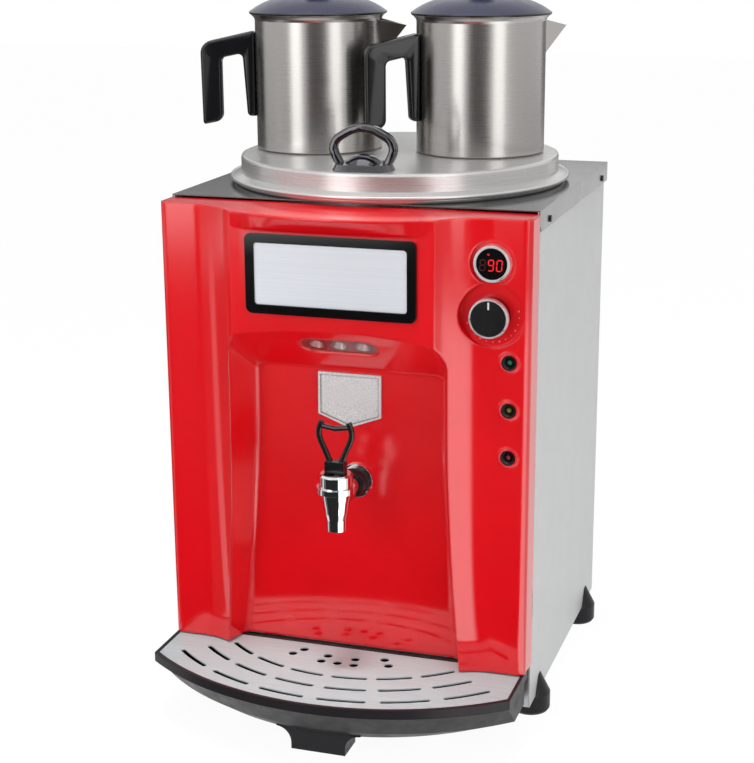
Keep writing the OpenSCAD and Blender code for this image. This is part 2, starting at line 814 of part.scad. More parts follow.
module niche_lamp_lens() {
  color("white", 0.5) on_ceiling() translate([0, 0, -2]) linear_extrude(2) stadium(lens_l - 4, lens_w - 4);
}

// Thermometer, thermostat and indicator lamps

module facing(x, z, y) {
  translate([x, y, z]) rotate([90, 0, 0]) children();
}

module thermometer_bezel() {
  color("silver") facing(control_x, thermo_z, recess_y) difference() {
    cylinder(h = thermo_out, r1 = thermo_d / 2 + 0.5, r2 = thermo_d / 2 - 0.5);
    translate([0, 0, -1]) cylinder(h = thermo_out + 2, r = thermo_hole_r);
  }
}

module thermometer_face() {
  color("black") facing(control_x, thermo_z, recess_y) translate([0, 0, thermo_out - 3])
    cylinder(h = 2, r = thermo_hole_r);
}

module thermometer_body() {
  color("black") {
    along_y(control_x, thermo_z, thermo_front + 3, recess_y + 22, thermo_hole_r);
    along_y(control_x, thermo_z, recess_y + fascia_wall, recess_y + fascia_wall + 6, thermo_hole_r + 4);
  }
}

module thermostat() {
  color("gray") difference() {
    union() {
      along_y(control_x, knob_z, recess_y - 0.5, thermostat_y, bush_d / 2);
      translate([control_x, thermostat_y + thermostat_d / 2, knob_z])
        cube([thermostat_w, thermostat_d, thermostat_w], center = true);
    }
    along_y(control_x, knob_z, -cut, thermostat_y + thermostat_d - 4, shaft_d / 2 + run_gap);
  }
}

module knob_shaft() {
  color("silver") along_y(control_x, knob_z, knob_back - 8, thermostat_y + thermostat_d - 5, shaft_d / 2);
}

module knob_body() {
  color("black") difference() {
    facing(control_x, knob_z, knob_back)
      cylinder(h = knob_back + knob_out - knob_ring_t, r1 = knob_d / 2 - 1.5, r2 = knob_d / 2 - 0.5);
    along_y(control_x, knob_z, knob_back - 8, knob_back + 1, shaft_d / 2);
  }
}

module knob_ring() {
  color("silver") facing(control_x, knob_z, knob_ring_t - knob_out) difference() {
    cylinder(h = knob_ring_t, r1 = knob_d / 2, r2 = knob_d / 2 - 0.6);
    translate([0, 0, -1]) cylinder(h = knob_ring_t + 2, r = knob_d / 2 - knob_ring_w);
  }
}

module knob_cap() {
  slot = knob_pointer_size();
  color("black") difference() {
    facing(control_x, knob_z, knob_ring_t - knob_out) cylinder(h = knob_ring_t - 0.8, r = knob_d / 2 - knob_ring_w);
    knob_pointer_block(slot);
  }
}

function knob_pointer_size() = [1.8, 1.2, 7.5];

module knob_pointer_block(size) {
  translate([control_x - size.x / 2, 0.8 - knob_out - eps, knob_z + knob_d / 2 - knob_ring_w - 1.5 - size.z])
    cube(size);
}

module knob_pointer() {
  color("white") knob_pointer_block(knob_pointer_size());
}

// The back of one indicator's holder, facing the front
module at_lamp(i) {
  translate([lamp_x, holder_depth, lamp_z - i * lamp_pitch]) rotate([90, 0, 0]) children();
}

module indicator_holders() {
  color("black") for (i = [0:lamp_count - 1])
    at_lamp(i) difference() {
      cylinder(h = holder_depth + holder_out, r = lamp_d / 2);
      translate([0, 0, holder_depth + holder_out - holder_cone])
        cylinder(h = holder_cone + eps, r1 = led_d / 2 + 0.4, r2 = lamp_d / 2 - 1.5);
      translate([0, 0, -1]) cylinder(h = holder_depth + 2, r = led_d / 2);
    }
}

module indicator(i) {
  color(lamp_colours[i]) at_lamp(i) {
    cylinder(h = holder_depth - led_back, r = led_d / 2);
    translate([0, 0, holder_depth - led_back]) sphere(led_d / 2);
  }
}

module indicator_green() { indicator(0); }
module indicator_amber() { indicator(1); }
module indicator_red() { indicator(2); }

// Water tank and what is in it

module tank() {
  top = body_top + bead_r;
  color("lightgray") difference() {
    union() {
      translate([0, tank_y, tank_floor]) cylinder(h = top - tank_floor, r = tank_r);
      translate([0, tank_y, top - sheet]) cylinder(h = sheet, r = bead_axis);
      translate([0, tank_y, top]) rotate_extrude() translate([bead_axis, 0]) circle(bead_r, $fn = 32);
    }
    translate([0, tank_y, tank_floor + tank_wall]) cylinder(h = top, r = tank_r - tank_wall);
    along_y(tap_x, tap_z, 0, tank_y, shank_d / 2 + run_gap);
    for (s = [-1, 1]) along_y(s * heater_x, heater_z, tank_y, body_d, heater_d / 2 + run_gap);
    along_y(probe_x, probe_z, tank_y, body_d, probe_d / 2 + run_gap);
  }
}

// Where the tank's round wall stands at a given x
function tank_front(x) = tank_y - sqrt(pow(tank_r, 2) - pow(x, 2));
function tank_inside(x) = tank_y - sqrt(pow(tank_r - tank_wall, 2) - pow(x, 2));
function tank_rear(x) = tank_y + sqrt(pow(tank_r, 2) - pow(x, 2));

module tank_hull() {
  translate([0, tank_y, tank_floor]) cylinder(h = body_top, r = tank_r);
}

module tank_seal() {
  color("white") difference() {
    along_y(tap_x, tap_z, niche_depth + fascia_wall, tank_front(0) + 8, shank_d / 2 + 7);
    along_y(tap_x, tap_z, 0, tank_y, shank_d / 2 + run_gap);
    tank_hull();
  }
}

module tank_nut() {
  flat_y = tank_inside(shank_d / 2 + 7 + tap_x) + 0.1;
  color("goldenrod") translate([tap_x, flat_y, tap_z]) rotate([-90, 0, 0]) difference() {
    cylinder(h = 9, r = shank_d / 2 + 7, $fn = 6);
    translate([0, 0, -1]) cylinder(h = 11, r = shank_d / 2 + run_gap);
  }
}

module heater() {
  loop_y = heater_front + heater_x;
  plate_y = tank_rear(heater_x + heater_d) + 4;
  color("gray") {
    for (s = [-1, 1]) along_y(s * heater_x, heater_z, loop_y, plate_y, heater_d / 2);
    translate([0, loop_y, heater_z]) rotate([0, 0, 180])
      rotate_extrude(angle = 180) translate([heater_x, 0]) circle(heater_d / 2, $fn = 32);
    difference() {
      along_y(0, heater_z, tank_y, tank_y + tank_r + 6, heater_x + heater_d);
      tank_hull();
      for (s = [-1, 1]) along_y(s * heater_x, heater_z, 0, plate_y, heater_d / 2 - eps);
    }
  }
}

module thermostat_bulb() {
  color("peru") {
    along_y(probe_x, probe_z, tank_rear(probe_x) - probe_l, tank_rear(probe_x) + 6, probe_d / 2);
    difference() {
      along_y(probe_x, probe_z, tank_y, tank_rear(probe_x) + 6, probe_d / 2 + 4);
      tank_hull();
      along_y(probe_x, probe_z, 0, body_d, probe_d / 2 - eps);
    }
  }
}

// Tap

module tap_shank() {
  color("silver") difference() {
    along_y(tap_x, tap_z, tap_y + chamber_r, tank_front(0) + 24, shank_d / 2);
    along_y(tap_x, tap_z, tap_y, tank_front(0) + 25, shank_d / 2 - 3.5);
  }
}

module tap_escutcheon() {
  color("silver") difference() {
    along_y(tap_x, tap_z, wall_y - 4, niche_depth, escutcheon_d / 2);
    along_y(tap_x, tap_z, 0, cut, shank_d / 2 + run_gap);
    niche_wall_block();
  }
}

// The solid behind the niche's back wall
module niche_wall_block() {
  rotate([90, 0, 90]) translate([0, 0, -half_w]) linear_extrude(body_w)
    polygon([[back_y(0), 0], [back_y(body_top), body_top], [body_d, body_top], [body_d, 0]]);
}

module tap_collar() {
  color("black") difference() {
    translate([tap_x, wall_y - 4, tap_z]) rotate([90, 0, 0]) {
      cylinder(h = 7, r = escutcheon_d / 2 - 2.5);
      translate([0, 0, 7]) cylinder(h = 6, r1 = escutcheon_d / 2 - 3.5, r2 = shank_d / 2 + 3);
    }
    along_y(tap_x, tap_z, tap_y, cut, shank_d / 2 + run_gap);
  }
}

module tap_body() {
  color("silver") difference() {
    union() {
      translate([tap_x, tap_y, 0]) rotate_extrude() polygon([
        [0, tap_bottom], [spout_d / 2, tap_bottom], [spout_d / 2 + 0.3, tap_bottom + 12],
        [spout_d / 2 + 1.9, seat_z - 6], [chamber_r + tap_wall * 0.5, seat_z + 2],
        [chamber_r + tap_wall * 0.84, tap_z + 2], [chamber_r + tap_wall, tap_top - 6.7],
        [chamber_r + tap_wall, tap_top], [0, tap_top]]);
      along_y(tap_x, tap_z, tap_y + 3, tap_y + chamber_r + 16, branch_d / 2);
    }
    translate([tap_x, tap_y, tap_bottom - 1]) cylinder(h = cut, r = spout_d / 2 - 3);
    translate([tap_x, tap_y, seat_z]) cylinder(h = cut, r = chamber_r);
    along_y(tap_x, tap_z, tap_y + 8, tap_y + cut, shank_d / 2);
  }
}

module tap_bonnet() {
  slot_x = lever_w / 2 + fit_gap;
  front = lever_t + 0.6;
  back = lever_t / 2 + 1;
  skirt_r = chamber_r + tap_wall;
  floor_z = pivot_z - 5;
  cup_r = bonnet_d / 2 - 2.3;
  color("silver") difference() {
    translate([tap_x, tap_y, 0]) {
      translate([0, 0, tap_top - 6]) difference() {
        cylinder(h = 6, r = bonnet_d / 2 + 0.5);
        translate([0, 0, -1]) cylinder(h = 8, r = skirt_r);
      }
      translate([0, 0, tap_top - 5]) cylinder(h = 6, r = stem_d / 2 + 2);
      translate([0, 0, tap_top]) cylinder(h = bonnet_h - 2, r = cup_r);
      translate([0, 0, bonnet_top - 2]) cylinder(h = 2, r1 = cup_r, r2 = cup_r - 1.7);
    }
    translate([tap_x, tap_y, 0]) cylinder(h = cut * 10, r = stem_d / 2 + run_gap);
    along_y(tap_x, tap_z, tap_y, tap_y + cut, branch_d / 2 + fit_gap);
    translate([tap_x - slot_x, tap_y - front, floor_z]) cube([2 * slot_x, front + back, cut]);
    translate([tap_x, tap_y, pivot_z]) rotate([0, 90, 0])
      cylinder(h = lever_w + 12, r = pin_d / 2, center = true);
  }
}

module lever_pin() {
  color("silver") translate([tap_x, tap_y, pivot_z]) rotate([0, 90, 0])
    cylinder(h = lever_w + 12, r = pin_d / 2, center = true);
}

// Centre line of the lever's loop, from one horn down round the bottom and up to the other
function loop_half() = concat(
  [[loop_w * 0.38, lever_h - 3]],
  corner_arc([loop_w * 0.38, lever_h - 3], [loop_w * 0.52, lever_h - 16], [loop_w * 0.16, 19], 22, 6),
  [[loop_w * 0.16, 18]]);

module tap_lever() {
  tube = 3;
  right = loop_half();
  top_bar = [[-loop_w * 0.41, lever_h - 8], [0, lever_h - 10.5], [loop_w * 0.41, lever_h - 8]];
  color("black") difference() {
    translate([tap_x, tap_y, pivot_z]) {
      for (s = [-1, 1])
        translate([s * (lever_w - cheek_w) / 2, 0, 0]) {
          rotate([0, 90, 0]) cylinder(h = cheek_w, r = 4, center = true);
          translate([-cheek_w / 2, -4, 0]) cube([cheek_w, 8, 8]);
        }
      translate([-lever_w / 2, -lever_t / 2, 6.5]) cube([lever_w, lever_t, 12.5]);
      loft([for (i = [0:len(right) - 1]) bar_ring(right, i, tube, tube, 10, 0.8)]);
      mirror([1, 0, 0]) loft([for (i = [0:len(right) - 1]) bar_ring(right, i, tube, tube, 10, 0.8)]);
      loft([for (i = [0:2]) bar_ring(top_bar, i, tube - 0.4, tube - 0.4, 10, 0.8)]);
    }
    translate([tap_x, tap_y, pivot_z]) rotate([0, 90, 0])
      cylinder(h = lever_w + 2, r = pin_d / 2 + run_gap, center = true);
  }
}

module tap_stem() {
  color("silver") translate([tap_x, tap_y, seat_z + 5]) cylinder(h = pivot_z - 7 - seat_z - 5, r = stem_d / 2);
}

module tap_seat() {
  color("black") translate([tap_x, tap_y, seat_z + 0.1]) difference() {
    union() {
      cylinder(h = 3, r1 = chamber_r - 3, r2 = chamber_r - 2);
      translate([0, 0, 3]) cylinder(h = 3, r = chamber_r - 3);
      translate([0, 0, 6]) cylinder(h = 3, r = stem_d / 2 + 2);
    }
    translate([0, 0, 4.9]) cylinder(h = cut, r = stem_d / 2);
  }
}

module tap_spring() {
  color("gray") translate([tap_x, tap_y, seat_z + 6.2]) difference() {
    cylinder(h = tap_top - seat_z - 6.3, r = spring_r);
    translate([0, 0, -1]) cylinder(h = cut, r = stem_d / 2 + 2.4);
  }
}

// Drip tray

// Outline with a bowed front: half width, reach of the front, of the corners, and of the back
module tray_outline(half, reach, corner, back) {
  r = arc_radius(half, reach - corner);
  intersection() {
    translate([0, r - reach]) circle(r, $fn = 180);
    translate([-half, -reach - 1]) square([2 * half, reach + back + 1]);
  }
}

module tray_slice(z, h, half, reach, corner, inset) {
  translate([0, 0, z]) linear_extrude(h)
    tray_outline(half - inset, reach - inset, corner - inset, tray_back - inset);
}

module bowl(inset, lift) {
  rim_bottom = tray_top - rim_h;
  hull() {
    tray_slice(rim_bottom + lift, 0.5, tray_half - 3, tray_reach - 3, tray_corner - 3, inset);
    tray_slice(bowl_mid + lift, 0.5, tray_half - 3, bowl_mid_reach, bowl_mid_corner, inset);
  }
  hull() {
    tray_slice(bowl_mid + lift, 0.5, tray_half - 3, bowl_mid_reach, bowl_mid_corner, inset);
    tray_slice(bowl_floor + lift, 0.5, bowl_floor_half, bowl_reach, bowl_floor_corner, inset);
  }
}

module tray_foot_outline() {
  h = bowl_floor + 1;
  r = foot_fillet;
  difference() {
    translate([-tray_foot_w / 2 - r, 0]) square([tray_foot_w + 2 * r, h]);
    for (s = [-1, 1]) translate([s * (tray_foot_w / 2 + r), h - r]) circle(r);
    for (s = [-1, 1]) translate([s * (tray_foot_w / 2 + r) - r, -h - r]) square([2 * r, 2 * h]);
  }
}

module drip_tray() {
  ledge = 3;
  color("dimgray") difference() {
    union() {
      tray_slice(tray_top - rim_h, rim_h, tray_half, tray_reach, tray_corner, 0);
      bowl(0, 0);
      upright(tray_foot_y - tray_foot_d / 2, tray_foot_y + tray_foot_d / 2) tray_foot_outline();
    }
    tray_slice(grille_z, cut, tray_half, tray_reach, tray_corner, rim_w);
    bowl(bowl_wall + ledge, bowl_wall);
    tray_slice(tray_top - rim_h, cut, tray_half, tray_reach, tray_corner, rim_w + ledge);
  }
}

module arc_slot(r, a0, a1, w) {
  intersection() {
    difference() {
      circle(r + w / 2, $fn = 180);
      circle(r - w / 2, $fn = 180);
    }
    polygon([[0, 0], 2 * r * [sin(a0), -cos(a0)], 2 * r * [sin(a1), -cos(a1)]]);
  }
  for (a = [a0, a1]) translate(r * [sin(a), -cos(a)]) circle(w / 2, $fn = 24);
}

function grille_holes() = [[54.6, 13.4], [46.3, 0.3], [18.4, 22.6], [15.6, 8.4]];

module drip_grille() {
  color("silver") translate([0, 0, grille_z]) linear_extrude(grille_t) difference() {
    tray_outline(tray_half - rim_w - fit_gap, tray_reach - rim_w - fit_gap,
      tray_corner - rim_w - fit_gap, tray_back - rim_w - fit_gap);
    for (row = [0:slot_rows - 1], i = [0:slot_count - 1]) {
      r = slot_r + row * slot_grow;
      front = slot_front - (slot_rows - 1 - row) * slot_pitch;
      middle = (i - (slot_count - 1) / 2) * slot_step;
      translate([0, r - front]) arc_slot(r, middle - slot_angle / 2, middle + slot_angle / 2, slot_w);
    }
    for (h = grille_holes(), s = [-1, 1]) translate([s * h.x, -h.y]) circle(hole_d / 2);
    translate([0, -grille_holes()[2].y]) circle(hole_d / 2);
  }
}

// Boiler lid

module on_lid() {
  translate([0, tank_y, lid_base]) children();
}

module boiler_lid() {
  inner = drum_r - lid_sheet;
  height = flange_fall + drum_h;
  color("lightgray") on_lid() difference() {
    rotate_extrude() union() {
      polygon([
        [0, height - lid_sheet], [inner, height - lid_sheet], [inner, flange_fall - lid_sheet],
        [lid_rim_x, -lid_sheet], [lid_rim_x, 0], [drum_r, flange_fall], [drum_r, height - 3],
        [drum_r - 0.9, height - 0.9], [drum_r - 3, height], [0, height]]);
      translate([lid_rim_x, -lid_sheet]) circle(lid_rim_r, $fn = 24);
    }
    at_lid_handle() for (s = [-1, 1])
      translate([s * handle_plate_w * 0.36, 0, -10]) cylinder(h = 20, r = handle_screw_d / 4);
  }
}

// Brings a shape to the lid handle's place on the lid's top, from the lid's axis
module at_lid_handle() {
  rotate([0, 0, lid_turn]) translate([0, -handle_r, flange_fall + drum_h]) children();
}

module lid_handle_base() {
  ball = (pow(handle_dome_r, 2) + pow(handle_dome_h, 2)) / (2 * handle_dome_h);
  color("darkslategray") on_lid() at_lid_handle() difference() {
    union() {
      intersection() {
        cylinder(h = handle_plate_t, r1 = handle_plate_w / 2, r2 = handle_plate_w / 2 - 3.5);
        translate([0, 0, handle_plate_t / 2])
          cube([handle_plate_w + 2, handle_plate_d, handle_plate_t + 2], center = true);
      }
      intersection() {
        translate([0, 0, handle_plate_t + handle_dome_h - ball]) sphere(ball);
        translate([0, 0, handle_plate_t - eps]) cylinder(h = handle_h, r = ball + 1);
      }
    }
    for (s = [-1, 1]) translate([s * handle_plate_w * 0.36, 0, -1]) cylinder(h = 20, r = handle_screw_d / 4);
  }
}

module lid_handle_screws() {
  color("silver") on_lid() at_lid_handle() for (s = [-1, 1])
    translate([s * handle_plate_w * 0.36, 0, 0]) {
      translate([0, 0, -8]) cylinder(h = 8 + handle_plate_t, r = handle_screw_d / 4);
      translate([0, 0, -lid_sheet - 3.2]) cylinder(h = 3.2, r = handle_screw_d / 2, $fn = 6);
    }
}

// Centre line of the lid handle's bow, from one foot over the top to the other
function bow_path() =
  let (w = (handle_w - bow_t) / 2, h = handle_h - bow_t / 2)
  rounded_path([[handle_plate_w * 0.37, handle_plate_t - 4], [w, h * 0.62], [0, h * 1.12],
    [-w, h * 0.62], [-handle_plate_w * 0.37, handle_plate_t - 4]],
    [0, handle_w * 0.17, handle_w * 0.415, handle_w * 0.17, 0], 7);

module lid_handle() {
  p = bow_path();
  color("darkslategray") on_lid() at_lid_handle() difference() {
    loft([for (i = [0:len(p) - 1]) bar_ring(p, i, bow_t / 2, lid_handle_t / 2, 12, 0.6)]);
    translate([0, 0, handle_plate_t - handle_h]) cylinder(h = handle_h, r = handle_w);
  }
}

// Teapots

module pot_outside() {
  rotate_extrude() polygon([
    [0, 0], [pot_r - 2, 0], [pot_r, 2], [pot_r, pot_h - flare_h],
    [pot_r + pot_flare * 0.18, pot_h - flare_h * 0.62], [pot_r + pot_flare * 0.55, pot_h - flare_h * 0.27],
    [pot_rim, pot_h], [0, pot_h]]);
}

module pot_inside() {
  r = pot_r - pot_wall;
  rotate_extrude() polygon([
    [0, pot_wall], [r - 2, pot_wall], [r, pot_wall + 2], [r, pot_h - flare_h],
    [r + pot_flare * 0.18, pot_h - flare_h * 0.62],
    [r + pot_flare * 0.55, pot_h - flare_h * 0.27], [pot_rim - pot_wall, pot_h + eps], [0, pot_h + eps]]);
}

// Beak with a sharp keel, from its root inside the body to the pouring tip
module beak() {
  root = pot_r * 0.8;
  half = spout_half * 1.2;
  polyhedron(
    [[root, -half, spout_top], [root, half, spout_top], [spout_reach, 0, spout_tip],
     [root, 0, spout_low - 14]],
    [[0, 1, 2], [0, 3, 1], [1, 3, 2], [0, 2, 3]]);
}

// The channel in the beak, open at the top
module beak_channel() {
  root = pot_r * 0.8 - 1;
  half = spout_half * 1.2 - 1.2;
  over = 8;
  tip = spout_reach - 2.5;
  polyhedron(
    [[root, -half, spout_top + over], [root, half, spout_top + over], [tip, 0, spout_tip + over],
     [root, 0, spout_low - 10], [tip, 0, spout_tip]],
    [[0, 1, 2], [0, 3, 1], [1, 3, 4], [1, 4, 2], [0, 2, 4], [0, 4, 3]]);
}

module pot_body() {
  strip = spout_top - 3;
  color("silver") difference() {
    union() {
      pot_outside();
      beak();
    }
    pot_inside();
    intersection() {
      beak_channel();
      cylinder(h = strip, r = 2 * pot_r);
    }
    difference() {
      beak_channel();
      cylinder(h = 2 * pot_h, r = pot_rim + 0.5);
    }
  }
}

module pot_grip() {
  color("black") rotate([0, 0, 180]) loft(grip_rings(), grip_steps + 1);
}

module pot_lid() {
  skirt = pot_r - pot_wall - 1;
  middle = dome_h + lid_flange_h - dome_r;
  color("slategray") translate([0, 0, pot_lid_z]) rotate_extrude() {
    intersection() {
      translate([0, middle]) difference() {
        circle(dome_r, $fn = 180);
        circle(dome_r - lid_sheet_t, $fn = 180);
      }
      translate([0, lid_flange_h - 0.5]) square([pot_r - 1, dome_h + 2]);
    }
    polygon([
      [lid_flange_r, 0], [lid_flange_r, lid_sheet_t], [pot_r, lid_flange_h], [skirt, lid_flange_h],
      [skirt - lid_sheet_t, lid_flange_h], [skirt - lid_sheet_t, -6], [skirt, -6],
      [skirt, lid_flange_h - lid_sheet_t - 1], [pot_r - 1, lid_flange_h - lid_sheet_t - 1], [pot_rim, 0]]);
  }
}

module pot_lid_knob() {
  sink = 0.6;
  base = pot_lid_z + dome_h + lid_flange_h - sink;
  color("black") translate([0, 0, base]) difference() {
    rotate_extrude() polygon([
      [0, 0], [14.5, 0], [14, 2.5], [11.5, 6], [10.5, 10], [11.5, 15], [15.5, lid_knob_h - 10],
      [17, lid_knob_h - 6], [16, lid_knob_h - 2.2], [12.5, lid_knob_h - 0.4], [0, lid_knob_h]]);
    translate([0, 0, sink - dome_r]) sphere(dome_r, $fn = 180);
  }
}

module at_left_pot() {
  translate([left_pot_x, left_pot_y, lid_top]) rotate([0, 0, left_turn]) children();
}

module at_right_pot() {
  translate([right_pot_x, right_pot_y, lid_top]) rotate([0, 0, right_turn]) children();
}

module left_pot() { at_left_pot() pot_body(); }
module left_pot_handle() { at_left_pot() pot_grip(); }
module left_pot_lid() { at_left_pot() pot_lid(); }
module left_pot_knob() { at_left_pot() pot_lid_knob(); }
module right_pot() { at_right_pot() pot_body(); }
module right_pot_handle() { at_right_pot() pot_grip(); }
module right_pot_lid() { at_right_pot() pot_lid(); }
module right_pot_knob() { at_right_pot() pot_lid_knob(); }

to_origin() base_pan();
to_origin() casing();
to_origin() top_plate();
to_origin() top_plate_screws();
to_origin() tray_runners();
to_origin() front_left_foot();
to_origin() front_right_foot();
to_origin() rear_left_foot();
to_origin() rear_right_foot();
to_origin() cable_gland();
to_origin() fascia();
to_origin() sign_frame();
to_origin() sign_plate();
to_origin() badge_plate();
to_origin() niche_lamp_housing();
to_origin() niche_lamp_reflectors();
to_origin() niche_lamp_lens();
to_origin() thermometer_bezel();
to_origin() thermometer_face();
to_origin() thermometer_body();
to_origin() thermostat();
to_origin() knob_shaft();
to_origin() knob_body();
to_origin() knob_ring();
to_origin() knob_cap();
to_origin() knob_pointer();
to_origin() indicator_holders();
to_origin() indicator_green();
to_origin() indicator_amber();
to_origin() indicator_red();
to_origin() tank();
to_origin() tank_seal();
to_origin() tank_nut();
to_origin() heater();
to_origin() thermostat_bulb();
to_origin() tap_escutcheon();
to_origin() tap_collar();
to_origin() tap_shank();
to_origin() tap_body();
to_origin() tap_bonnet();
to_origin() lever_pin();
to_origin() tap_lever();
to_origin() tap_stem();
to_origin() tap_seat();
to_origin() tap_spring();
to_origin() drip_tray();
to_origin() drip_grille();
to_origin() boiler_lid();
to_origin() lid_handle();
to_origin() lid_handle_base();
to_origin() lid_handle_screws();
to_origin() left_pot();
to_origin() left_pot_handle();
to_origin() left_pot_lid();
to_origin() left_pot_knob();
to_origin() right_pot();
to_origin() right_pot_handle();
to_origin() right_pot_lid();
to_origin() right_pot_knob();
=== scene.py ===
import json
import math

import bmesh
import bpy
from mathutils import Matrix, Vector

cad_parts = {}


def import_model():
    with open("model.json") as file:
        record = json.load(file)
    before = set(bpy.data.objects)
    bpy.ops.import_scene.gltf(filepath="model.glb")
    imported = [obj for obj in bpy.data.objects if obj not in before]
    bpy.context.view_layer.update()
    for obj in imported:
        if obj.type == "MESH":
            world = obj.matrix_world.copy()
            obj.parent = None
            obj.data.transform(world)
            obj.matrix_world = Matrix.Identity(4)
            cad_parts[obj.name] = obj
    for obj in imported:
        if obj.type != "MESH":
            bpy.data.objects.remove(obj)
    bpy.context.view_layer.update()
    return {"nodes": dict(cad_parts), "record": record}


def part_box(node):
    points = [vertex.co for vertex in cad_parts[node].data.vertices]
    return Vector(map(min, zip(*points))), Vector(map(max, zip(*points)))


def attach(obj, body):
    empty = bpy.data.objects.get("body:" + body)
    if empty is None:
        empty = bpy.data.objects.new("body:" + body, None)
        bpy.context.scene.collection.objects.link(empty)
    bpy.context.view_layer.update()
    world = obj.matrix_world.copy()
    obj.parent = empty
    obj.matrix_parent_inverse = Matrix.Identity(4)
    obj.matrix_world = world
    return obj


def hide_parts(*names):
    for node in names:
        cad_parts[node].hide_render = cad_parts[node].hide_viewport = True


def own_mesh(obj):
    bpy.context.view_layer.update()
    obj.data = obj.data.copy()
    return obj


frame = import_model()
nodes = frame["nodes"]
scene = bpy.context.scene

# The part's own origin in the body's measures, in millimetres
ORIGIN = Vector((-8.13546, 143.0, 0.0))


def at(x, y, z):
    """A point of the body in millimetres, as metres in the shared frame."""
    return (Vector((x, y, z)) - ORIGIN) / 1000


def srgb(red, green, blue):
    """A colour of 0 to 255 steps as linear numbers."""
    def linear(value):
        value /= 255
        if value <= 0.04045:
            return value / 12.92
        return ((value + 0.055) / 1.055) ** 2.4
    return (linear(red), linear(green), linear(blue), 1.0)


def shaded(colour, factor):
    """The same colour, lighter or darker."""
    return tuple(min(1.0, part * factor) for part in colour[:3]) + (1.0,)


# Edges of bent sheet and turned metal, the depth of brush marks, and the pointiness of a rubbed edge
SHEET_EDGE = 0.0005
METAL_EDGE = 0.0004
BRUSH_DEPTH = 0.00003
WORN_EDGE = (0.515, 0.56)

# Haze on the fascia: heights over which it grows, depths of the niche wall, and its increase there
HAZE_HEIGHTS = (0.16, 0.30)
HAZE_DEPTHS = (-0.137, -0.120)
HAZE_DEEP = 1.6


# Node helpers

class Tree:
    """Short calls for building one material's nodes."""

    def __init__(self, name):
        self.material = bpy.data.materials.new(name)
        self.material.use_nodes = True
        self.tree = self.material.node_tree
        self.shader = self.tree.nodes["Principled BSDF"]

    def node(self, kind, **values):
        made = self.tree.nodes.new(kind)
        for key, value in values.items():
            setattr(made, key, value)
        return made

    def link(self, source, target):
        self.tree.links.new(source, target)

    def place(self):
        return self.node("ShaderNodeTexCoord").outputs["Object"]

    def stretch(self, source, scale):
        made = self.node("ShaderNodeMapping")
        made.inputs["Scale"].default_value = scale
        self.link(source, made.inputs["Vector"])
        return made.outputs["Vector"]

    def noise(self, source, scale, detail=3.0, rough=0.5):
        made = self.node("ShaderNodeTexNoise")
        made.inputs["Scale"].default_value = scale
        made.inputs["Detail"].default_value = detail
        made.inputs["Roughness"].default_value = rough
        self.link(source, made.inputs["Vector"])
        return made.outputs["Fac"]

    def cells(self, source, scale, smooth):
        made = self.node("ShaderNodeTexVoronoi", feature="SMOOTH_F1")
        made.inputs["Scale"].default_value = scale
        made.inputs["Smoothness"].default_value = smooth
        self.link(source, made.inputs["Vector"])
        return made.outputs["Distance"]

    def span(self, source, low, high, start=0.3, end=0.7):
        made = self.node("ShaderNodeMapRange")
        for key, value in (("From Min", start), ("From Max", end), ("To Min", low), ("To Max", high)):
            made.inputs[key].default_value = value
        self.link(source, made.inputs["Value"])
        return made.outputs["Result"]

    def math(self, operation, first, second):
        made = self.node("ShaderNodeMath", operation=operation)
        for socket, value in zip(made.inputs, (first, second)):
            if isinstance(value, (int, float)):
                socket.default_value = value
            else:
                self.link(value, socket)
        return made.outputs[0]

    def blend(self, factor, first, second):
        made = self.node("ShaderNodeMix", data_type="RGBA")
        self.link(factor, made.inputs["Factor"])
        for socket, value in ((made.inputs["A"], first), (made.inputs["B"], second)):
            if isinstance(value, tuple):
                socket.default_value = value
            else:
                self.link(value, socket)
        return made.outputs["Result"]

    def worn(self):
        """One along edges that hands and cloths rub, nought elsewhere."""
        pointed = self.node("ShaderNodeNewGeometry").outputs["Pointiness"]
        return self.span(pointed, 0.0, 1.0, *WORN_EDGE)

    def soft_edges(self, radius):
        """Normals that round an edge over that radius."""
        made = self.node("ShaderNodeBevel", samples=6)
        made.inputs["Radius"].default_value = radius
        return made.outputs["Normal"]

    def bump(self, height, strength, distance, normal):
        made = self.node("ShaderNodeBump")
        made.inputs["Strength"].default_value = strength
        made.inputs["Distance"].default_value = distance
        self.link(height, made.inputs["Height"])
        self.link(normal, made.inputs["Normal"])
        return made.outputs["Normal"]

    def give(self, socket, value):
        """Set the shader's own socket to a constant, or link it."""
        target = self.shader.inputs[socket]
        if isinstance(value, (int, float, tuple)):
            target.default_value = value
        else:
            self.link(value, target)


# Finishes

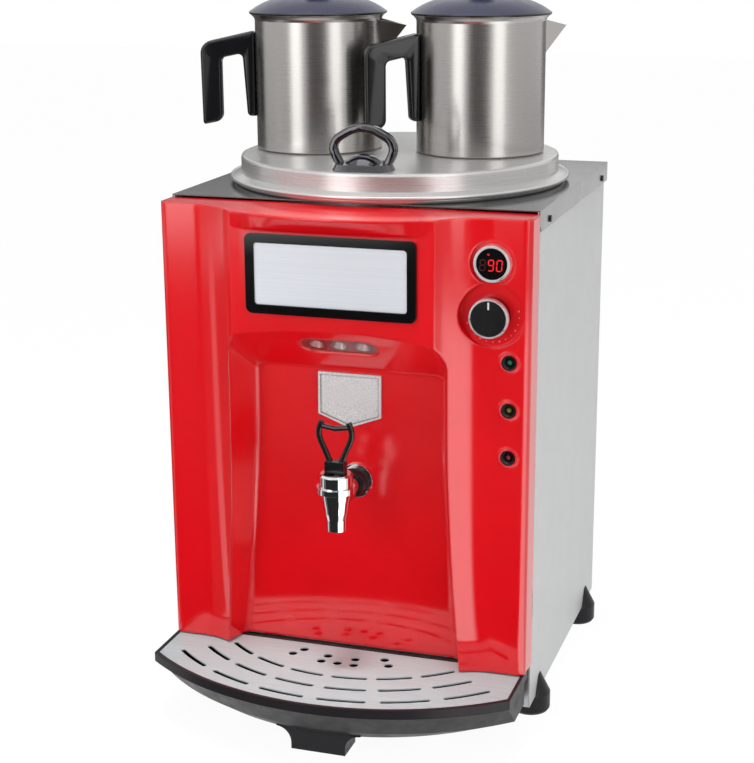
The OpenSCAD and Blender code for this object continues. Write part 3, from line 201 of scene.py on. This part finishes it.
def moulded(name, colour, rough, grain=900.0, depth=0.00004, strength=0.25, edge=0.0006,
            coat=0.0, wear=0.25, spread=0.10, ior=1.5, haze=0.0):
    """Moulded plastic: fine grain, uneven gloss, rubbed edges, and haze where steam reaches."""
    t = Tree(name)
    place = t.place()
    clouds = t.noise(place, 22.0, 4.0)
    fine = t.noise(place, grain, 2.0)
    base = t.blend(t.span(clouds, 0.0, 1.0), shaded(colour, 1 - spread), shaded(colour, 1 + spread))
    rubbed = t.math("MULTIPLY", t.worn(), wear)
    t.give("Base Color", t.blend(rubbed, base, shaded(colour, 1.7)))
    smudged = t.span(t.noise(place, 60.0, 5.0, 0.65), rough * 0.82, rough * 1.22)
    if haze:
        parts = t.node("ShaderNodeSeparateXYZ")
        t.link(place, parts.inputs[0])
        high = t.span(parts.outputs["Z"], 0.0, haze, *HAZE_HEIGHTS)
        deep = t.span(parts.outputs["Y"], 1.0, HAZE_DEEP, *HAZE_DEPTHS)
        smudged = t.math("ADD", smudged, t.math("MULTIPLY", high, deep))
    t.give("Roughness", smudged)
    t.give("Coat Weight", coat)
    t.give("Coat Roughness", 0.05)
    t.give("IOR", ior)
    t.give("Normal", t.bump(fine, strength, depth, t.soft_edges(edge)))
    return t.material


def painted(name, colour, rough, metallic, coat=0.0):
    """Powder-painted sheet: faint orange peel, fine flakes, a little dust in the gloss."""
    t = Tree(name)
    place = t.place()
    flakes = t.noise(place, 1800.0, 1.0)
    drift = t.noise(place, 6.0, 3.0)
    base = t.blend(t.span(flakes, 0.0, 1.0), shaded(colour, 0.95), shaded(colour, 1.05))
    t.give("Base Color", t.blend(t.span(drift, 0.0, 0.12), base, shaded(colour, 0.82)))
    t.give("Metallic", metallic)
    t.give("Roughness", t.span(t.noise(place, 35.0, 5.0, 0.6), rough * 0.88, rough * 1.14))
    t.give("Coat Weight", coat)
    t.give("Coat Roughness", 0.12)
    peel = t.noise(place, 420.0, 2.0)
    t.give("Normal", t.bump(peel, 0.10, 0.00005, t.soft_edges(SHEET_EDGE)))
    return t.material


def brushed(name, colour, rough, scale, anisotropic=0.5, metallic=1.0, specular=0.5):
    """Steel or aluminium brushed along X."""
    t = Tree(name)
    place = t.place()
    lines = t.noise(t.stretch(place, scale), 1.0, 4.0, 0.62)
    across = t.node("ShaderNodeVectorMath", operation="CROSS_PRODUCT")
    t.link(t.node("ShaderNodeNewGeometry").outputs["Normal"], across.inputs[0])
    across.inputs[1].default_value = (1.0, 0.0, 0.0)
    t.give("Tangent", across.outputs[0])
    broad = t.noise(place, 14.0, 3.0)
    base = t.blend(t.span(lines, 0.0, 1.0), shaded(colour, 0.90), shaded(colour, 1.08))
    t.give("Base Color", t.blend(t.span(broad, 0.0, 0.25), base, shaded(colour, 0.86)))
    t.give("Metallic", metallic)
    t.give("Roughness", t.span(lines, rough * 0.8, rough * 1.25))
    t.give("Anisotropic", anisotropic)
    t.give("Specular IOR Level", specular)
    t.give("Normal", t.bump(lines, 0.12, BRUSH_DEPTH, t.soft_edges(METAL_EDGE)))
    return t.material


def turned(name, colour, rough, axis, metallic=1.0):
    """Steel brushed round an upright axis, which stands at that point of the shared frame."""
    ring = 6500.0
    t = Tree(name)
    place = t.place()
    moved = t.node("ShaderNodeVectorMath", operation="SUBTRACT")
    moved.inputs[1].default_value = (axis[0], axis[1], 0.0)
    t.link(place, moved.inputs[0])
    parts = t.node("ShaderNodeSeparateXYZ")
    t.link(moved.outputs[0], parts.inputs[0])
    flat = t.node("ShaderNodeCombineXYZ")
    t.link(parts.outputs["X"], flat.inputs["X"])
    t.link(parts.outputs["Y"], flat.inputs["Y"])
    radius = t.node("ShaderNodeVectorMath", operation="LENGTH")
    t.link(flat.outputs[0], radius.inputs[0])
    angle = t.math("ARCTAN2", parts.outputs["Y"], parts.outputs["X"])
    rolled = t.node("ShaderNodeCombineXYZ")
    t.link(t.math("MULTIPLY", angle, 3.0), rolled.inputs["X"])
    t.link(t.math("MULTIPLY", radius.outputs["Value"], ring), rolled.inputs["Y"])
    t.link(t.math("MULTIPLY", parts.outputs["Z"], ring), rolled.inputs["Z"])
    lines = t.noise(rolled.outputs[0], 1.0, 3.0, 0.6)
    scuffs = t.noise(place, 45.0, 5.0, 0.62)
    base = t.blend(t.span(lines, 0.0, 1.0), shaded(colour, 0.97), shaded(colour, 1.03))
    t.give("Base Color", t.blend(t.span(scuffs, 0.0, 0.06), base, shaded(colour, 0.8)))
    t.give("Metallic", metallic)
    t.give("Roughness", t.span(lines, rough * 0.95, rough * 1.06))
    t.give("Anisotropic", 0.5)
    along = t.node("ShaderNodeVectorMath", operation="CROSS_PRODUCT")
    along.inputs[0].default_value = (0.0, 0.0, 1.0)
    t.link(flat.outputs[0], along.inputs[1])
    across = t.node("ShaderNodeVectorMath", operation="CROSS_PRODUCT")
    t.link(t.node("ShaderNodeNewGeometry").outputs["Normal"], across.inputs[0])
    t.link(along.outputs[0], across.inputs[1])
    t.give("Tangent", across.outputs[0])
    t.give("Normal", t.bump(lines, 0.003, BRUSH_DEPTH, t.soft_edges(METAL_EDGE)))
    return t.material


def polished(name, colour, rough):
    """Chrome plate: nearly a mirror, with smears in the gloss."""
    t = Tree(name)
    place = t.place()
    smears = t.noise(place, 55.0, 5.0, 0.6)
    t.give("Base Color", t.blend(t.span(smears, 0.0, 0.5), colour, shaded(colour, 0.88)))
    t.give("Metallic", 1.0)
    t.give("Roughness", t.span(smears, rough * 0.6, rough * 1.5))
    waves = t.noise(place, 120.0, 2.0)
    t.give("Normal", t.bump(waves, 0.06, 0.0001, t.soft_edges(METAL_EDGE)))
    return t.material


def hammered(name, colour, rough, size):
    """Cast plate: shallow dents, and painted shade that darkens the corners of its raised rim."""
    t = Tree(name)
    place = t.place()
    dents = t.cells(place, size, 0.4)
    specks = t.noise(place, size * 2.2, 2.0)
    grain = t.blend(t.span(specks, 0.0, 1.0), shaded(colour, 0.72), shaded(colour, 1.1))
    # Painted shade: ambient occlusion darkens the base colour in the corners of the rim
    painted_shade_ao = t.node("ShaderNodeAmbientOcclusion", samples=8)
    painted_shade_ao.inputs["Distance"].default_value = 0.0022
    unshaded_share = t.span(painted_shade_ao.outputs["AO"], 0.0, 1.0, 0.55, 0.95)
    t.give("Base Color", t.blend(unshaded_share, shaded(colour, 0.05), grain))
    t.give("Metallic", 0.15)
    t.give("Roughness", t.span(specks, rough * 0.8, rough * 1.2))
    t.give("Normal", t.bump(dents, 0.3, 0.0002, t.soft_edges(0.0003)))
    return t.material


def glowing(name, colour, strength, rough=0.2):
    """Tinted lamp plastic with a weak light of its own."""
    t = Tree(name)
    place = t.place()
    cloud = t.noise(place, 400.0, 2.0)
    tint = t.blend(t.span(cloud, 0.0, 1.0), shaded(colour, 0.8), shaded(colour, 1.15))
    t.give("Base Color", tint)
    t.give("Emission Color", tint)
    t.give("Emission Strength", strength)
    t.give("Roughness", rough)
    return t.material


def clear(name, rough):
    """Moulded clear lens with a faint ripple."""
    t = Tree(name)
    place = t.place()
    t.give("Base Color", (0.95, 0.95, 0.95, 1.0))
    t.give("Transmission Weight", 1.0)
    t.give("IOR", 1.45)
    t.give("Roughness", t.span(t.noise(place, 150.0, 3.0), rough * 0.6, rough * 1.4))
    ripple = t.noise(place, 300.0, 2.0)
    t.give("Normal", t.bump(ripple, 0.08, 0.0001, t.soft_edges(METAL_EDGE)))
    return t.material


# Upright axes of the turned pieces
LEFT_POT = at(-98, 217, 0)
RIGHT_POT = at(86, 233, 0)
LID_AXIS = at(0, 208, 0)
STEEL = srgb(176, 173, 170)

# One finish for each material slot of the record
finish = {
    "red_moulding": moulded("red_moulding", srgb(238, 11, 24), 0.075, grain=300.0, depth=0.00006,
                            strength=0.04, edge=0.004, wear=0.10, spread=0.03, ior=1.69, haze=0.07),
    "silver_sheet": painted("silver_sheet", srgb(214, 215, 215), 0.38, metallic=0.15),
    "dark_sheet": painted("dark_sheet", srgb(84, 82, 83), 0.24, metallic=0.3, coat=0.5),
    "plated_sheet": brushed("plated_sheet", srgb(190, 192, 194), 0.35, (30, 2400, 2400)),
    "dark_plastic": moulded("dark_plastic", srgb(34, 32, 35), 0.40, grain=1100.0, depth=0.00006,
                            strength=0.2, edge=0.0010, ior=1.3),
    "black_plastic": moulded("black_plastic", srgb(22, 22, 24), 0.22, grain=1400.0, depth=0.00003,
                             strength=0.12),
    "black_gloss": moulded("black_gloss", srgb(11, 11, 12), 0.09, grain=500.0, depth=0.00003,
                           strength=0.05, coat=0.1, ior=1.42),
    "handle_plastic": moulded("handle_plastic", srgb(24, 24, 27), 0.12, grain=1300.0, depth=0.00003,
                              strength=0.04, edge=0.0012, ior=1.4),
    "lid_plastic": moulded("lid_plastic", srgb(49, 52, 81), 0.30, grain=500.0, depth=0.00002,
                           strength=0.01, wear=0.0, spread=0.04),
    "stainless": brushed("stainless", STEEL, 0.24, (40, 2600, 2600)),
    "chrome": polished("chrome", srgb(226, 227, 229), 0.05),
    "bright_steel": brushed("bright_steel", srgb(206, 207, 209), 0.2, (30, 2200, 2200)),
    "black_screw": painted("black_screw", srgb(24, 24, 25), 0.35, metallic=0.4),
    "sign_silver": brushed("sign_silver", srgb(232, 236, 243), 0.42, (6, 5000, 5000),
                           anisotropic=0.3, metallic=0.3),
    "white_plastic": moulded("white_plastic", srgb(236, 236, 233), 0.2, wear=0.0, spread=0.03),
    "lens": clear("lens", 0.12),
    "grey_metal": painted("grey_metal", srgb(150, 151, 153), 0.4, metallic=0.3),
    "lamp_green": glowing("lamp_green", srgb(22, 98, 62), 0.10, 0.12),
    "lamp_amber": glowing("lamp_amber", srgb(112, 104, 22), 0.10, 0.12),
    "lamp_red": glowing("lamp_red", srgb(112, 18, 24), 0.10, 0.12),
    "silicone": moulded("silicone", srgb(222, 222, 219), 0.5, wear=0.0),
    "brass": brushed("brass", srgb(205, 170, 98), 0.28, (30, 1800, 1800)),
}
for entry in frame["record"]["subparts"]:
    own = nodes[entry["node"]].data.materials
    own.clear()
    own.append(finish[entry["material_slot"]])


def dress(material, *names):
    """Give some nodes a finish of their own in place of their slot's."""
    for name in names:
        nodes[name].data.materials[0] = material


dress(turned("left_pot_steel", STEEL, 0.28, LEFT_POT), "left_pot")
dress(turned("right_pot_steel", STEEL, 0.28, RIGHT_POT), "right_pot")
dress(turned("boiler_steel", srgb(206, 205, 204), 0.28, LID_AXIS, metallic=0.6), "boiler_lid", "tank")
# The grille's blue-green tint is painted: it cancels part of the red light that the fascia throws
# onto the grey steel
dress(brushed("grille_steel", srgb(196, 215, 217), 0.36, (9, 500, 500), metallic=0.05,
              specular=0.2), "drip_grille")
dress(hammered("hammered_plate", srgb(240, 241, 242), 0.34, 420.0), "badge_plate")
dress(polished("ring_chrome", srgb(238, 239, 240), 0.34), "knob_ring", "thermometer_bezel")
dress(moulded("lid_handle_gloss", srgb(20, 21, 30), 0.06, depth=0.00002, strength=0.03, edge=0.0010,
              coat=0.6, ior=1.6), "lid_handle", "lid_handle_base")
dress(moulded("lamp_grey", srgb(196, 74, 72), 0.3), "niche_lamp_housing")
dress(polished("lamp_mirror", srgb(176, 152, 150), 0.24), "niche_lamp_reflectors")


# Soft shading across the small facets of the lofted nodes
JOIN_DISTANCE = 0.000002
SMOOTH_LIMITS = {
    28: ("fascia",),
    40: ("left_pot_handle", "right_pot_handle"),
    50: ("lid_handle", "tap_lever"),
}


def smooth_group(limit):
    """Modifier nodes that join the facets and keep edges sharper than the limit, in degrees."""
    group = bpy.data.node_groups.new(f"smooth_{limit}", "GeometryNodeTree")
    group.is_modifier = True
    for side in ("INPUT", "OUTPUT"):
        group.interface.new_socket("Geometry", in_out=side, socket_type="NodeSocketGeometry")
    made = group.nodes
    start, end = made.new("NodeGroupInput"), made.new("NodeGroupOutput")
    joined = made.new("GeometryNodeMergeByDistance")
    joined.inputs["Distance"].default_value = JOIN_DISTANCE
    plain = made.new("GeometryNodeRemoveAttribute")
    plain.inputs["Name"].default_value = "custom_normal"
    faces = made.new("GeometryNodeSetShadeSmooth")
    faces.domain = "FACE"
    faces.inputs["Shade Smooth"].default_value = True
    edges = made.new("GeometryNodeSetShadeSmooth")
    edges.domain = "EDGE"
    edges.inputs["Shade Smooth"].default_value = False
    angle = made.new("GeometryNodeInputMeshEdgeAngle")
    sharp = made.new("FunctionNodeCompare")
    sharp.operation = "GREATER_THAN"
    sharp.inputs[1].default_value = math.radians(limit)
    link = group.links.new
    link(angle.outputs["Unsigned Angle"], sharp.inputs[0])
    link(sharp.outputs[0], edges.inputs["Selection"])
    chain = (start, joined, plain, faces, edges, end)
    for before, after in zip(chain, chain[1:]):
        link(before.outputs[0], after.inputs[0])
    return group


for limit, names in SMOOTH_LIMITS.items():
    group = smooth_group(limit)
    for name in names:
        nodes[name].modifiers.new("smooth", "NODES").node_group = group
        weighted = nodes[name].modifiers.new("weighted", "WEIGHTED_NORMAL")
        weighted.keep_sharp = True
        weighted.weight = 80


# Small pieces that the solids leave to this scene
SHARP_ANGLE = math.radians(45)


def piece(name, mesh_maker, body, material, smooth=False):
    """One mesh made by that function, riding on a body."""
    made = bmesh.new()
    mesh_maker(made)
    mesh = bpy.data.meshes.new(name)
    made.normal_update()
    made.to_mesh(mesh)
    made.free()
    if smooth:
        mesh.shade_smooth()
        mesh.set_sharp_from_angle(angle=SHARP_ANGLE)
    mesh.materials.append(material)
    piece_object = bpy.data.objects.new(name, mesh)
    scene.collection.objects.link(piece_object)
    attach(piece_object, body)
    return piece_object


def prism(made, outline, y_back, y_front):
    """An upright outline of body x and z, from y_back forward to y_front."""
    back = [made.verts.new(at(x, y_back, z)) for x, z in outline]
    front = [made.verts.new(at(x, y_front, z)) for x, z in outline]
    count = len(outline)
    made.faces.new(front)
    made.faces.new(back[::-1])
    for i in range(count):
        k = (i + 1) % count
        made.faces.new((front[k], front[i], back[i], back[k]))


def round_outline(x, z, radius, sides):
    """The corners of a round mark."""
    turns = [math.tau * k / sides for k in range(sides)]
    return [(x + radius * math.cos(turn), z + radius * math.sin(turn)) for turn in turns]


# The display, with measures in millimetres of the body
THERMO = (161.0, 516.0)
FACE_Y, FACE_PRINT = -5.1, 0.12
DIGIT_W, DIGIT_H, DIGIT_DROP = 6.4, 12.0, 1.4
DIGIT_PLACES = (-9.3, -0.7, 7.9)
BAR, BAR_GAP, BAR_SLANT = 1.25, 0.18, 0.08
MARK_PLACE, MARK_RADIUS, MARK_SIDES = (-3.4, 9.4), 1.1, 8
BARS_OF = {"9": "abcdfg", "0": "abcdef", "8": "abcdefg"}


def bar_outline(x, z, length, upright):
    """A six-cornered display bar about a point."""
    half = length / 2 - BAR_GAP
    flat = [(-half, 0), (-half + BAR / 2, -BAR / 2), (half - BAR / 2, -BAR / 2),
            (half, 0), (half - BAR / 2, BAR / 2), (-half + BAR / 2, BAR / 2)]
    if upright:
        flat = [(-b, a) for a, b in flat]
    return [(x + a + BAR_SLANT * (z + b - THERMO[1]), z + b) for a, b in flat]


def digit(made, number, place):
    """One figure of the display, bar by bar."""
    w, h = DIGIT_W - BAR, (DIGIT_H - BAR) / 2
    x, z = THERMO[0] + place, THERMO[1] - DIGIT_DROP
    bars = {"a": (x, z + h, w, False), "d": (x, z - h, w, False), "g": (x, z, w, False),
            "b": (x + w / 2, z + h / 2, h, True), "c": (x + w / 2, z - h / 2, h, True),
            "e": (x - w / 2, z - h / 2, h, True), "f": (x - w / 2, z + h / 2, h, True)}
    for letter in BARS_OF[number]:
        prism(made, bar_outline(*bars[letter]), FACE_Y, FACE_Y - FACE_PRINT)


def lit_digits(made):
    """The two lit figures and the small ring mark above them."""
    digit(made, "9", DIGIT_PLACES[1])
    digit(made, "0", DIGIT_PLACES[2])
    x, z = THERMO[0] + MARK_PLACE[0], THERMO[1] + MARK_PLACE[1]
    outer = round_outline(x, z, MARK_RADIUS, MARK_SIDES)
    inner = round_outline(x, z, MARK_RADIUS / 2, MARK_SIDES)
    for k in range(MARK_SIDES):
        after = (k + 1) % MARK_SIDES
        part = [inner[k], outer[k], outer[after], inner[after]]
        prism(made, part, FACE_Y, FACE_Y - FACE_PRINT)


def unlit_digit(made):
    """The figure that stays dark."""
    digit(made, "8", DIGIT_PLACES[0])


display_red = glowing("display_red", srgb(214, 22, 26), 0.75)
display_dim = glowing("display_dim", srgb(64, 16, 18), 0.05)
piece("display_digits", lit_digits, "urn", display_red)
piece("display_unlit", unlit_digit, "urn", display_dim)

# The knob's scale, in millimetres of the body and degrees
KNOB = (161.0, 463.0)
DISH_Y, DISH_PRINT = 0.4, 0.08
SCALE_RADIUS, SCALE_STEPS, SCALE_START, SCALE_TURN = 27.5, 13, 200.0, 172.0
DOT_LARGE, DOT_SMALL, DOT_SIDES = 0.75, 0.5, 12


def scale_dots(made):
    """The printed scale round the lower right of the knob."""
    for step in range(SCALE_STEPS):
        angle = math.radians(SCALE_START + SCALE_TURN * step / (SCALE_STEPS - 1))
        x = KNOB[0] + SCALE_RADIUS * math.cos(angle)
        z = KNOB[1] + SCALE_RADIUS * math.sin(angle)
        size = DOT_LARGE if step % 3 == 0 else DOT_SMALL
        prism(made, round_outline(x, z, size, DOT_SIDES), DISH_Y, DISH_Y - DISH_PRINT)


scale_print = moulded("scale_print", srgb(236, 150, 150), 0.4)
piece("scale_dots", scale_dots, "urn", scale_print)

# The tap's spring, in metres
SPRING_LOW, SPRING_HIGH = (Vector(painted_shade_ao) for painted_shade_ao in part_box("tap_spring"))
SPRING_WIRE, SPRING_TURNS = 0.0014, 5
CLOSED_PITCH = SPRING_WIRE * 1.05
RING_STEPS, WIRE_SIDES = 24, 8


def coil(made):
    """The tap's return spring: open turns between two closed end turns."""
    middle = (SPRING_LOW + SPRING_HIGH) / 2
    height = SPRING_HIGH.z - SPRING_LOW.z
    mean = (SPRING_HIGH.x - SPRING_LOW.x) / 2 - SPRING_WIRE / 2
    pitch = (height - SPRING_WIRE - 2 * CLOSED_PITCH) / (SPRING_TURNS - 2)
    rings = []
    for step in range(SPRING_TURNS * RING_STEPS + 1):
        turn = step / RING_STEPS
        rise = CLOSED_PITCH * min(turn, 1.0)
        rise += pitch * min(max(turn - 1.0, 0.0), SPRING_TURNS - 2.0)
        rise += CLOSED_PITCH * max(turn - (SPRING_TURNS - 1.0), 0.0)
        outward = Vector((math.cos(math.tau * turn), math.sin(math.tau * turn), 0.0))
        ring = []
        for side in range(WIRE_SIDES):
            angle = math.tau * side / WIRE_SIDES
            point = outward * (mean + SPRING_WIRE / 2 * math.cos(angle))
            z = SPRING_LOW.z + SPRING_WIRE / 2 * (1 + math.sin(angle)) + rise
            ring.append(made.verts.new((middle.x + point.x, middle.y + point.y, z)))
        rings.append(ring)
    for before, after in zip(rings, rings[1:]):
        for i in range(WIRE_SIDES):
            k = (i + 1) % WIRE_SIDES
            made.faces.new((before[i], before[k], after[k], after[i]))
    made.faces.new(rings[0][::-1])
    made.faces.new(rings[-1])
    bmesh.ops.recalc_face_normals(made, faces=made.faces)


spring = piece("return_spring", coil, "urn", finish["stainless"], smooth=True)
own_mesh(spring)
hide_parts("tap_spring")

# The teapot lids, with measures in metres from the underside of the brim
LID_TRIM, LID_BEAD, LID_SHEET = 0.0010, 0.0011, 0.0014
LID_CURVE, LID_WELD = 3.4, 0.000001
SKIRT_IN, SKIRT_DROP = 0.0092, 0.006
SEAT_RADIUS, SEAT_DROP = 0.0148, 0.0007
DOME_STEPS, BEAD_STEPS, LID_SIDES = 36, 8, 96


def lid_outline(reach, height):
    """Half a lid as radius and height: knob seat, dome, rim, skirt and the inside."""
    edge = reach - LID_TRIM - LID_BEAD

    def dome(radius):
        return 2 * LID_BEAD + (height - 2 * LID_BEAD) * (1 - (radius / edge) ** LID_CURVE)

    outline = [(0.0, height), (SEAT_RADIUS, height - SEAT_DROP)]
    for step in range(DOME_STEPS + 1):
        radius = SEAT_RADIUS + (edge - SEAT_RADIUS) * step / DOME_STEPS
        outline.append((radius, dome(radius)))
    skirt = reach - SKIRT_IN
    outline.append((edge, LID_BEAD / 2))
    outline += [(skirt, LID_BEAD / 2), (skirt, -SKIRT_DROP), (skirt - LID_SHEET, -SKIRT_DROP)]
    for step in range(DOME_STEPS + 1):
        radius = (skirt - LID_SHEET) * (1 - step / DOME_STEPS)
        outline.append((radius, dome(radius) - LID_SHEET))
    return outline


def shade_rim_outline(reach):
    """The lid's rolled edge, closed on itself, in black: painted shade where the edge turns under and
    meets the pot.
    """
    edge = reach - LID_TRIM - LID_BEAD
    outline = []
    for step in range(BEAD_STEPS + 1):
        angle = math.pi * (0.5 - step / BEAD_STEPS)
        outline.append((edge + LID_BEAD * math.cos(angle), LID_BEAD * (1 + math.sin(angle))))
    inner = edge - LID_BEAD / 2
    return outline + [(inner, 0.0), (inner, LID_BEAD / 2), (edge, LID_BEAD / 2), outline[0]]


def revolved(middle, brim, outline):
    """A function that turns an outline round an upright axis, from the height of the brim."""
    def make(made):
        rings = []
        for radius, rise in outline:
            sides = LID_SIDES if radius > 0.0 else 1
            ring = []
            for side in range(sides):
                angle = math.tau * side / sides
                x = middle.x + radius * math.cos(angle)
                y = middle.y + radius * math.sin(angle)
                ring.append(made.verts.new((x, y, brim + rise)))
            rings.append(ring)
        for before, after in zip(rings, rings[1:]):
            for i in range(LID_SIDES):
                k = (i + 1) % LID_SIDES
                corners = [before[i % len(before)], before[k % len(before)],
                           after[k % len(after)], after[i % len(after)]]
                # On the axis two corners are one, and the face is a triangle
                made.faces.new(list(dict.fromkeys(corners)))
        bmesh.ops.remove_doubles(made, verts=made.verts, dist=LID_WELD)
        bmesh.ops.recalc_face_normals(made, faces=made.faces)

    return make


for side in ("left", "right"):
    node, body = f"{side}_pot_lid", f"{side}_teapot_lid"
    low, high = (Vector(painted_shade_ao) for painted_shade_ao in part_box(node))
    middle, brim = (low + high) / 2, low.z + SKIRT_DROP
    reach = (high.x - low.x) / 2
    shell = revolved(middle, brim, lid_outline(reach, high.z - brim))
    lid = piece(f"{side}_lid_shell", shell, body, finish["lid_plastic"], smooth=True)
    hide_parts(node)
    # The black bead is partly the lid's real rolled edge and partly painted shade along the edge and
    # the gap beneath it
    rim = revolved(middle, brim, shade_rim_outline(reach))
    piece(f"{side}_lid_shade_rim", rim, body, finish["black_plastic"], smooth=True)


# Camera, floor and light, in metres
LENS, SENSOR = 78.971, 36.0
CAMERA_PLACE = (0.56545, -1.72465, 0.84561)
CAMERA_RIGHT = (0.95088, 0.30950, -0.00625)
CAMERA_UP = (-0.07684, 0.25555, 0.96374)
CAMERA_BACK = (0.29988, -0.91592, 0.26678)
WORLD_LEVEL = 0.42
FLOOR_REACH = 9.0
FLOOR_WHITE, FLOOR_SHARE = 1.05, 0.9
CARD_STEPS = 16
OBJECT_MIDDLE = (0.0, 0.0, 0.42)
TRAY_MIDDLE = (0.0, -0.2, 0.07)


def camera():
    """The camera fitted to the photograph."""
    data = bpy.data.cameras.new("camera")
    data.sensor_width = SENSOR
    data.lens = LENS
    data.clip_end = 50.0
    made = bpy.data.objects.new("camera", data)
    scene.collection.objects.link(made)
    turn = Matrix((CAMERA_RIGHT, CAMERA_UP, CAMERA_BACK)).transposed().to_4x4()
    made.matrix_world = Matrix.Translation(CAMERA_PLACE) @ turn
    scene.camera = made


def seen_paths(tree):
    """One for the rays that show the background: camera, glossy and transmission."""
    path = tree.nodes.new("ShaderNodeLightPath")
    total = path.outputs["Is Camera Ray"]
    for kind in ("Is Glossy Ray", "Is Transmission Ray"):
        most = tree.nodes.new("ShaderNodeMath")
        most.operation = "MAXIMUM"
        tree.links.new(total, most.inputs[0])
        tree.links.new(path.outputs[kind], most.inputs[1])
        total = most.outputs[0]
    return total


def world(level):
    """A pale world that lights at that level and shows as white."""
    made = bpy.data.worlds.new("studio")
    scene.world = made
    made.use_nodes = True
    tree = made.node_tree
    background = tree.nodes["Background"]
    background.inputs["Color"].default_value = (1.0, 1.0, 1.0, 1.0)
    strength = tree.nodes.new("ShaderNodeMapRange")
    strength.inputs["To Min"].default_value = level
    strength.inputs["To Max"].default_value = 1.0
    tree.links.new(seen_paths(tree), strength.inputs["Value"])
    tree.links.new(strength.outputs["Result"], background.inputs["Strength"])


def staged(name, points, faces, material):
    """A sheet of the studio."""
    mesh = bpy.data.meshes.new(name)
    mesh.from_pydata(points, [], faces)
    mesh.materials.append(material)
    made = bpy.data.objects.new(name, mesh)
    scene.collection.objects.link(made)
    return made


def floor():
    """A pale floor that shows nearly white and keeps the part's shadow."""
    t = Tree("floor_pale")
    place = t.place()
    tone = t.blend(t.noise(place, 3.0), (0.93, 0.93, 0.93, 1.0), (0.95, 0.95, 0.95, 1.0))
    t.give("Base Color", tone)
    t.give("Roughness", 0.8)
    t.give("Specular IOR Level", 0.1)
    white = t.node("ShaderNodeEmission")
    white.inputs["Strength"].default_value = FLOOR_WHITE
    mixed = t.node("ShaderNodeMixShader")
    share = t.math("MULTIPLY", seen_paths(t.tree), FLOOR_SHARE)
    t.link(share, mixed.inputs["Fac"])
    t.link(t.shader.outputs[0], mixed.inputs[1])
    t.link(white.outputs[0], mixed.inputs[2])
    t.link(mixed.outputs[0], t.tree.nodes["Material Output"].inputs["Surface"])
    signs = ((-1, -1), (1, -1), (1, 1), (-1, 1))
    corners = [(FLOOR_REACH * x, FLOOR_REACH * y, 0.0) for x, y in signs]
    staged("floor", corners, [(0, 1, 2, 3)], t.material)


def lamp(name, azimuth, distance, height, width, tall, level, aim=OBJECT_MIDDLE, spread=180.0):
    """A soft box at an azimuth from the front, in degrees, which faces the aim."""
    data = bpy.data.lights.new(name, "AREA")
    data.shape = "RECTANGLE"
    data.size, data.size_y = width, tall
    data.energy = level * math.pi * width * tall
    data.spread = math.radians(spread)
    made = bpy.data.objects.new(name, data)
    scene.collection.objects.link(made)
    angle = math.radians(azimuth)
    made.location = (distance * math.sin(angle), -distance * math.cos(angle), height)
    made.rotation_euler = (Vector(aim) - made.location).to_track_quat("-Z", "Y").to_euler()
    return made


def card(name, start, end, near, far, low, high, tone, level=0.5):
    """A curved card between two azimuths, from near and low to far and high, for shiny things."""
    t = Tree(name)
    t.give("Base Color", (tone, tone, tone, 1.0))
    t.give("Roughness", 1.0)
    t.give("Specular IOR Level", 0.0)
    t.give("Emission Color", (tone, tone, tone, 1.0))
    t.give("Emission Strength", level)
    points, faces = [], []
    for i in range(CARD_STEPS + 1):
        angle = math.radians(start + (end - start) * i / CARD_STEPS)
        for distance, z in ((near, low), (far, high)):
            points.append((distance * math.sin(angle), -distance * math.cos(angle), z))
    for i in range(CARD_STEPS):
        faces.append((2 * i, 2 * i + 2, 2 * i + 3, 2 * i + 1))
    made = staged(name, points, faces, t.material)
    made.visible_camera = False
    made.visible_diffuse = False
    made.visible_shadow = False
    made.visible_transmission = False


camera()
world(WORLD_LEVEL)
floor()

# Soft boxes: azimuth, distance, height, width, tall, level
lamp("left_box", -24.0, 2.3, 1.05, 0.9, 2.0, 2.15)
lamp("right_box", 50.0, 2.3, 1.05, 0.9, 2.0, 1.9)
lamp("top_box", 0.0, 0.4, 2.6, 1.8, 1.4, 1.8)
tray_fill = lamp("tray_box", 0.0, 0.35, 1.6, 0.2, 0.1, 2.3, aim=TRAY_MIDDLE, spread=22.0)
tray_fill.visible_glossy = False

# Upright cards: start, end, near, far, low, high, tone
card("front_card", -4.0, 32.0, 2.0, 2.0, 0.0, 1.1, 0.02)
card("left_card", -165.0, -98.0, 1.7, 1.7, 0.0, 0.9, 0.10)
card("right_card", 150.0, 200.0, 2.6, 2.6, 0.25, 0.9, 0.2)

# Cards that lie just over the floor, in the same order
card("front_table", -44.0, 28.0, 0.31, 3.4, 0.004, 0.004, 0.02)
card("left_table", -60.0, -44.0, 0.42, 2.6, 0.004, 0.004, 0.12)
card("side_table", -150.0, -70.0, 0.42, 2.6, 0.004, 0.004, 0.12)
card("right_strip", 30.0, 74.0, 0.36, 2.2, 0.005, 0.005, 1.0, level=1.8)
card("far_table", 28.0, 62.0, 2.2, 8.8, 0.004, 0.004, 0.1)
card("left_grey", -98.0, -30.0, 3.4, 6.0, 0.004, 0.004, 0.3)
card("right_grey", 62.0, 150.0, 2.2, 6.0, 0.004, 0.004, 0.4)

scene.view_settings.view_transform = "Standard"
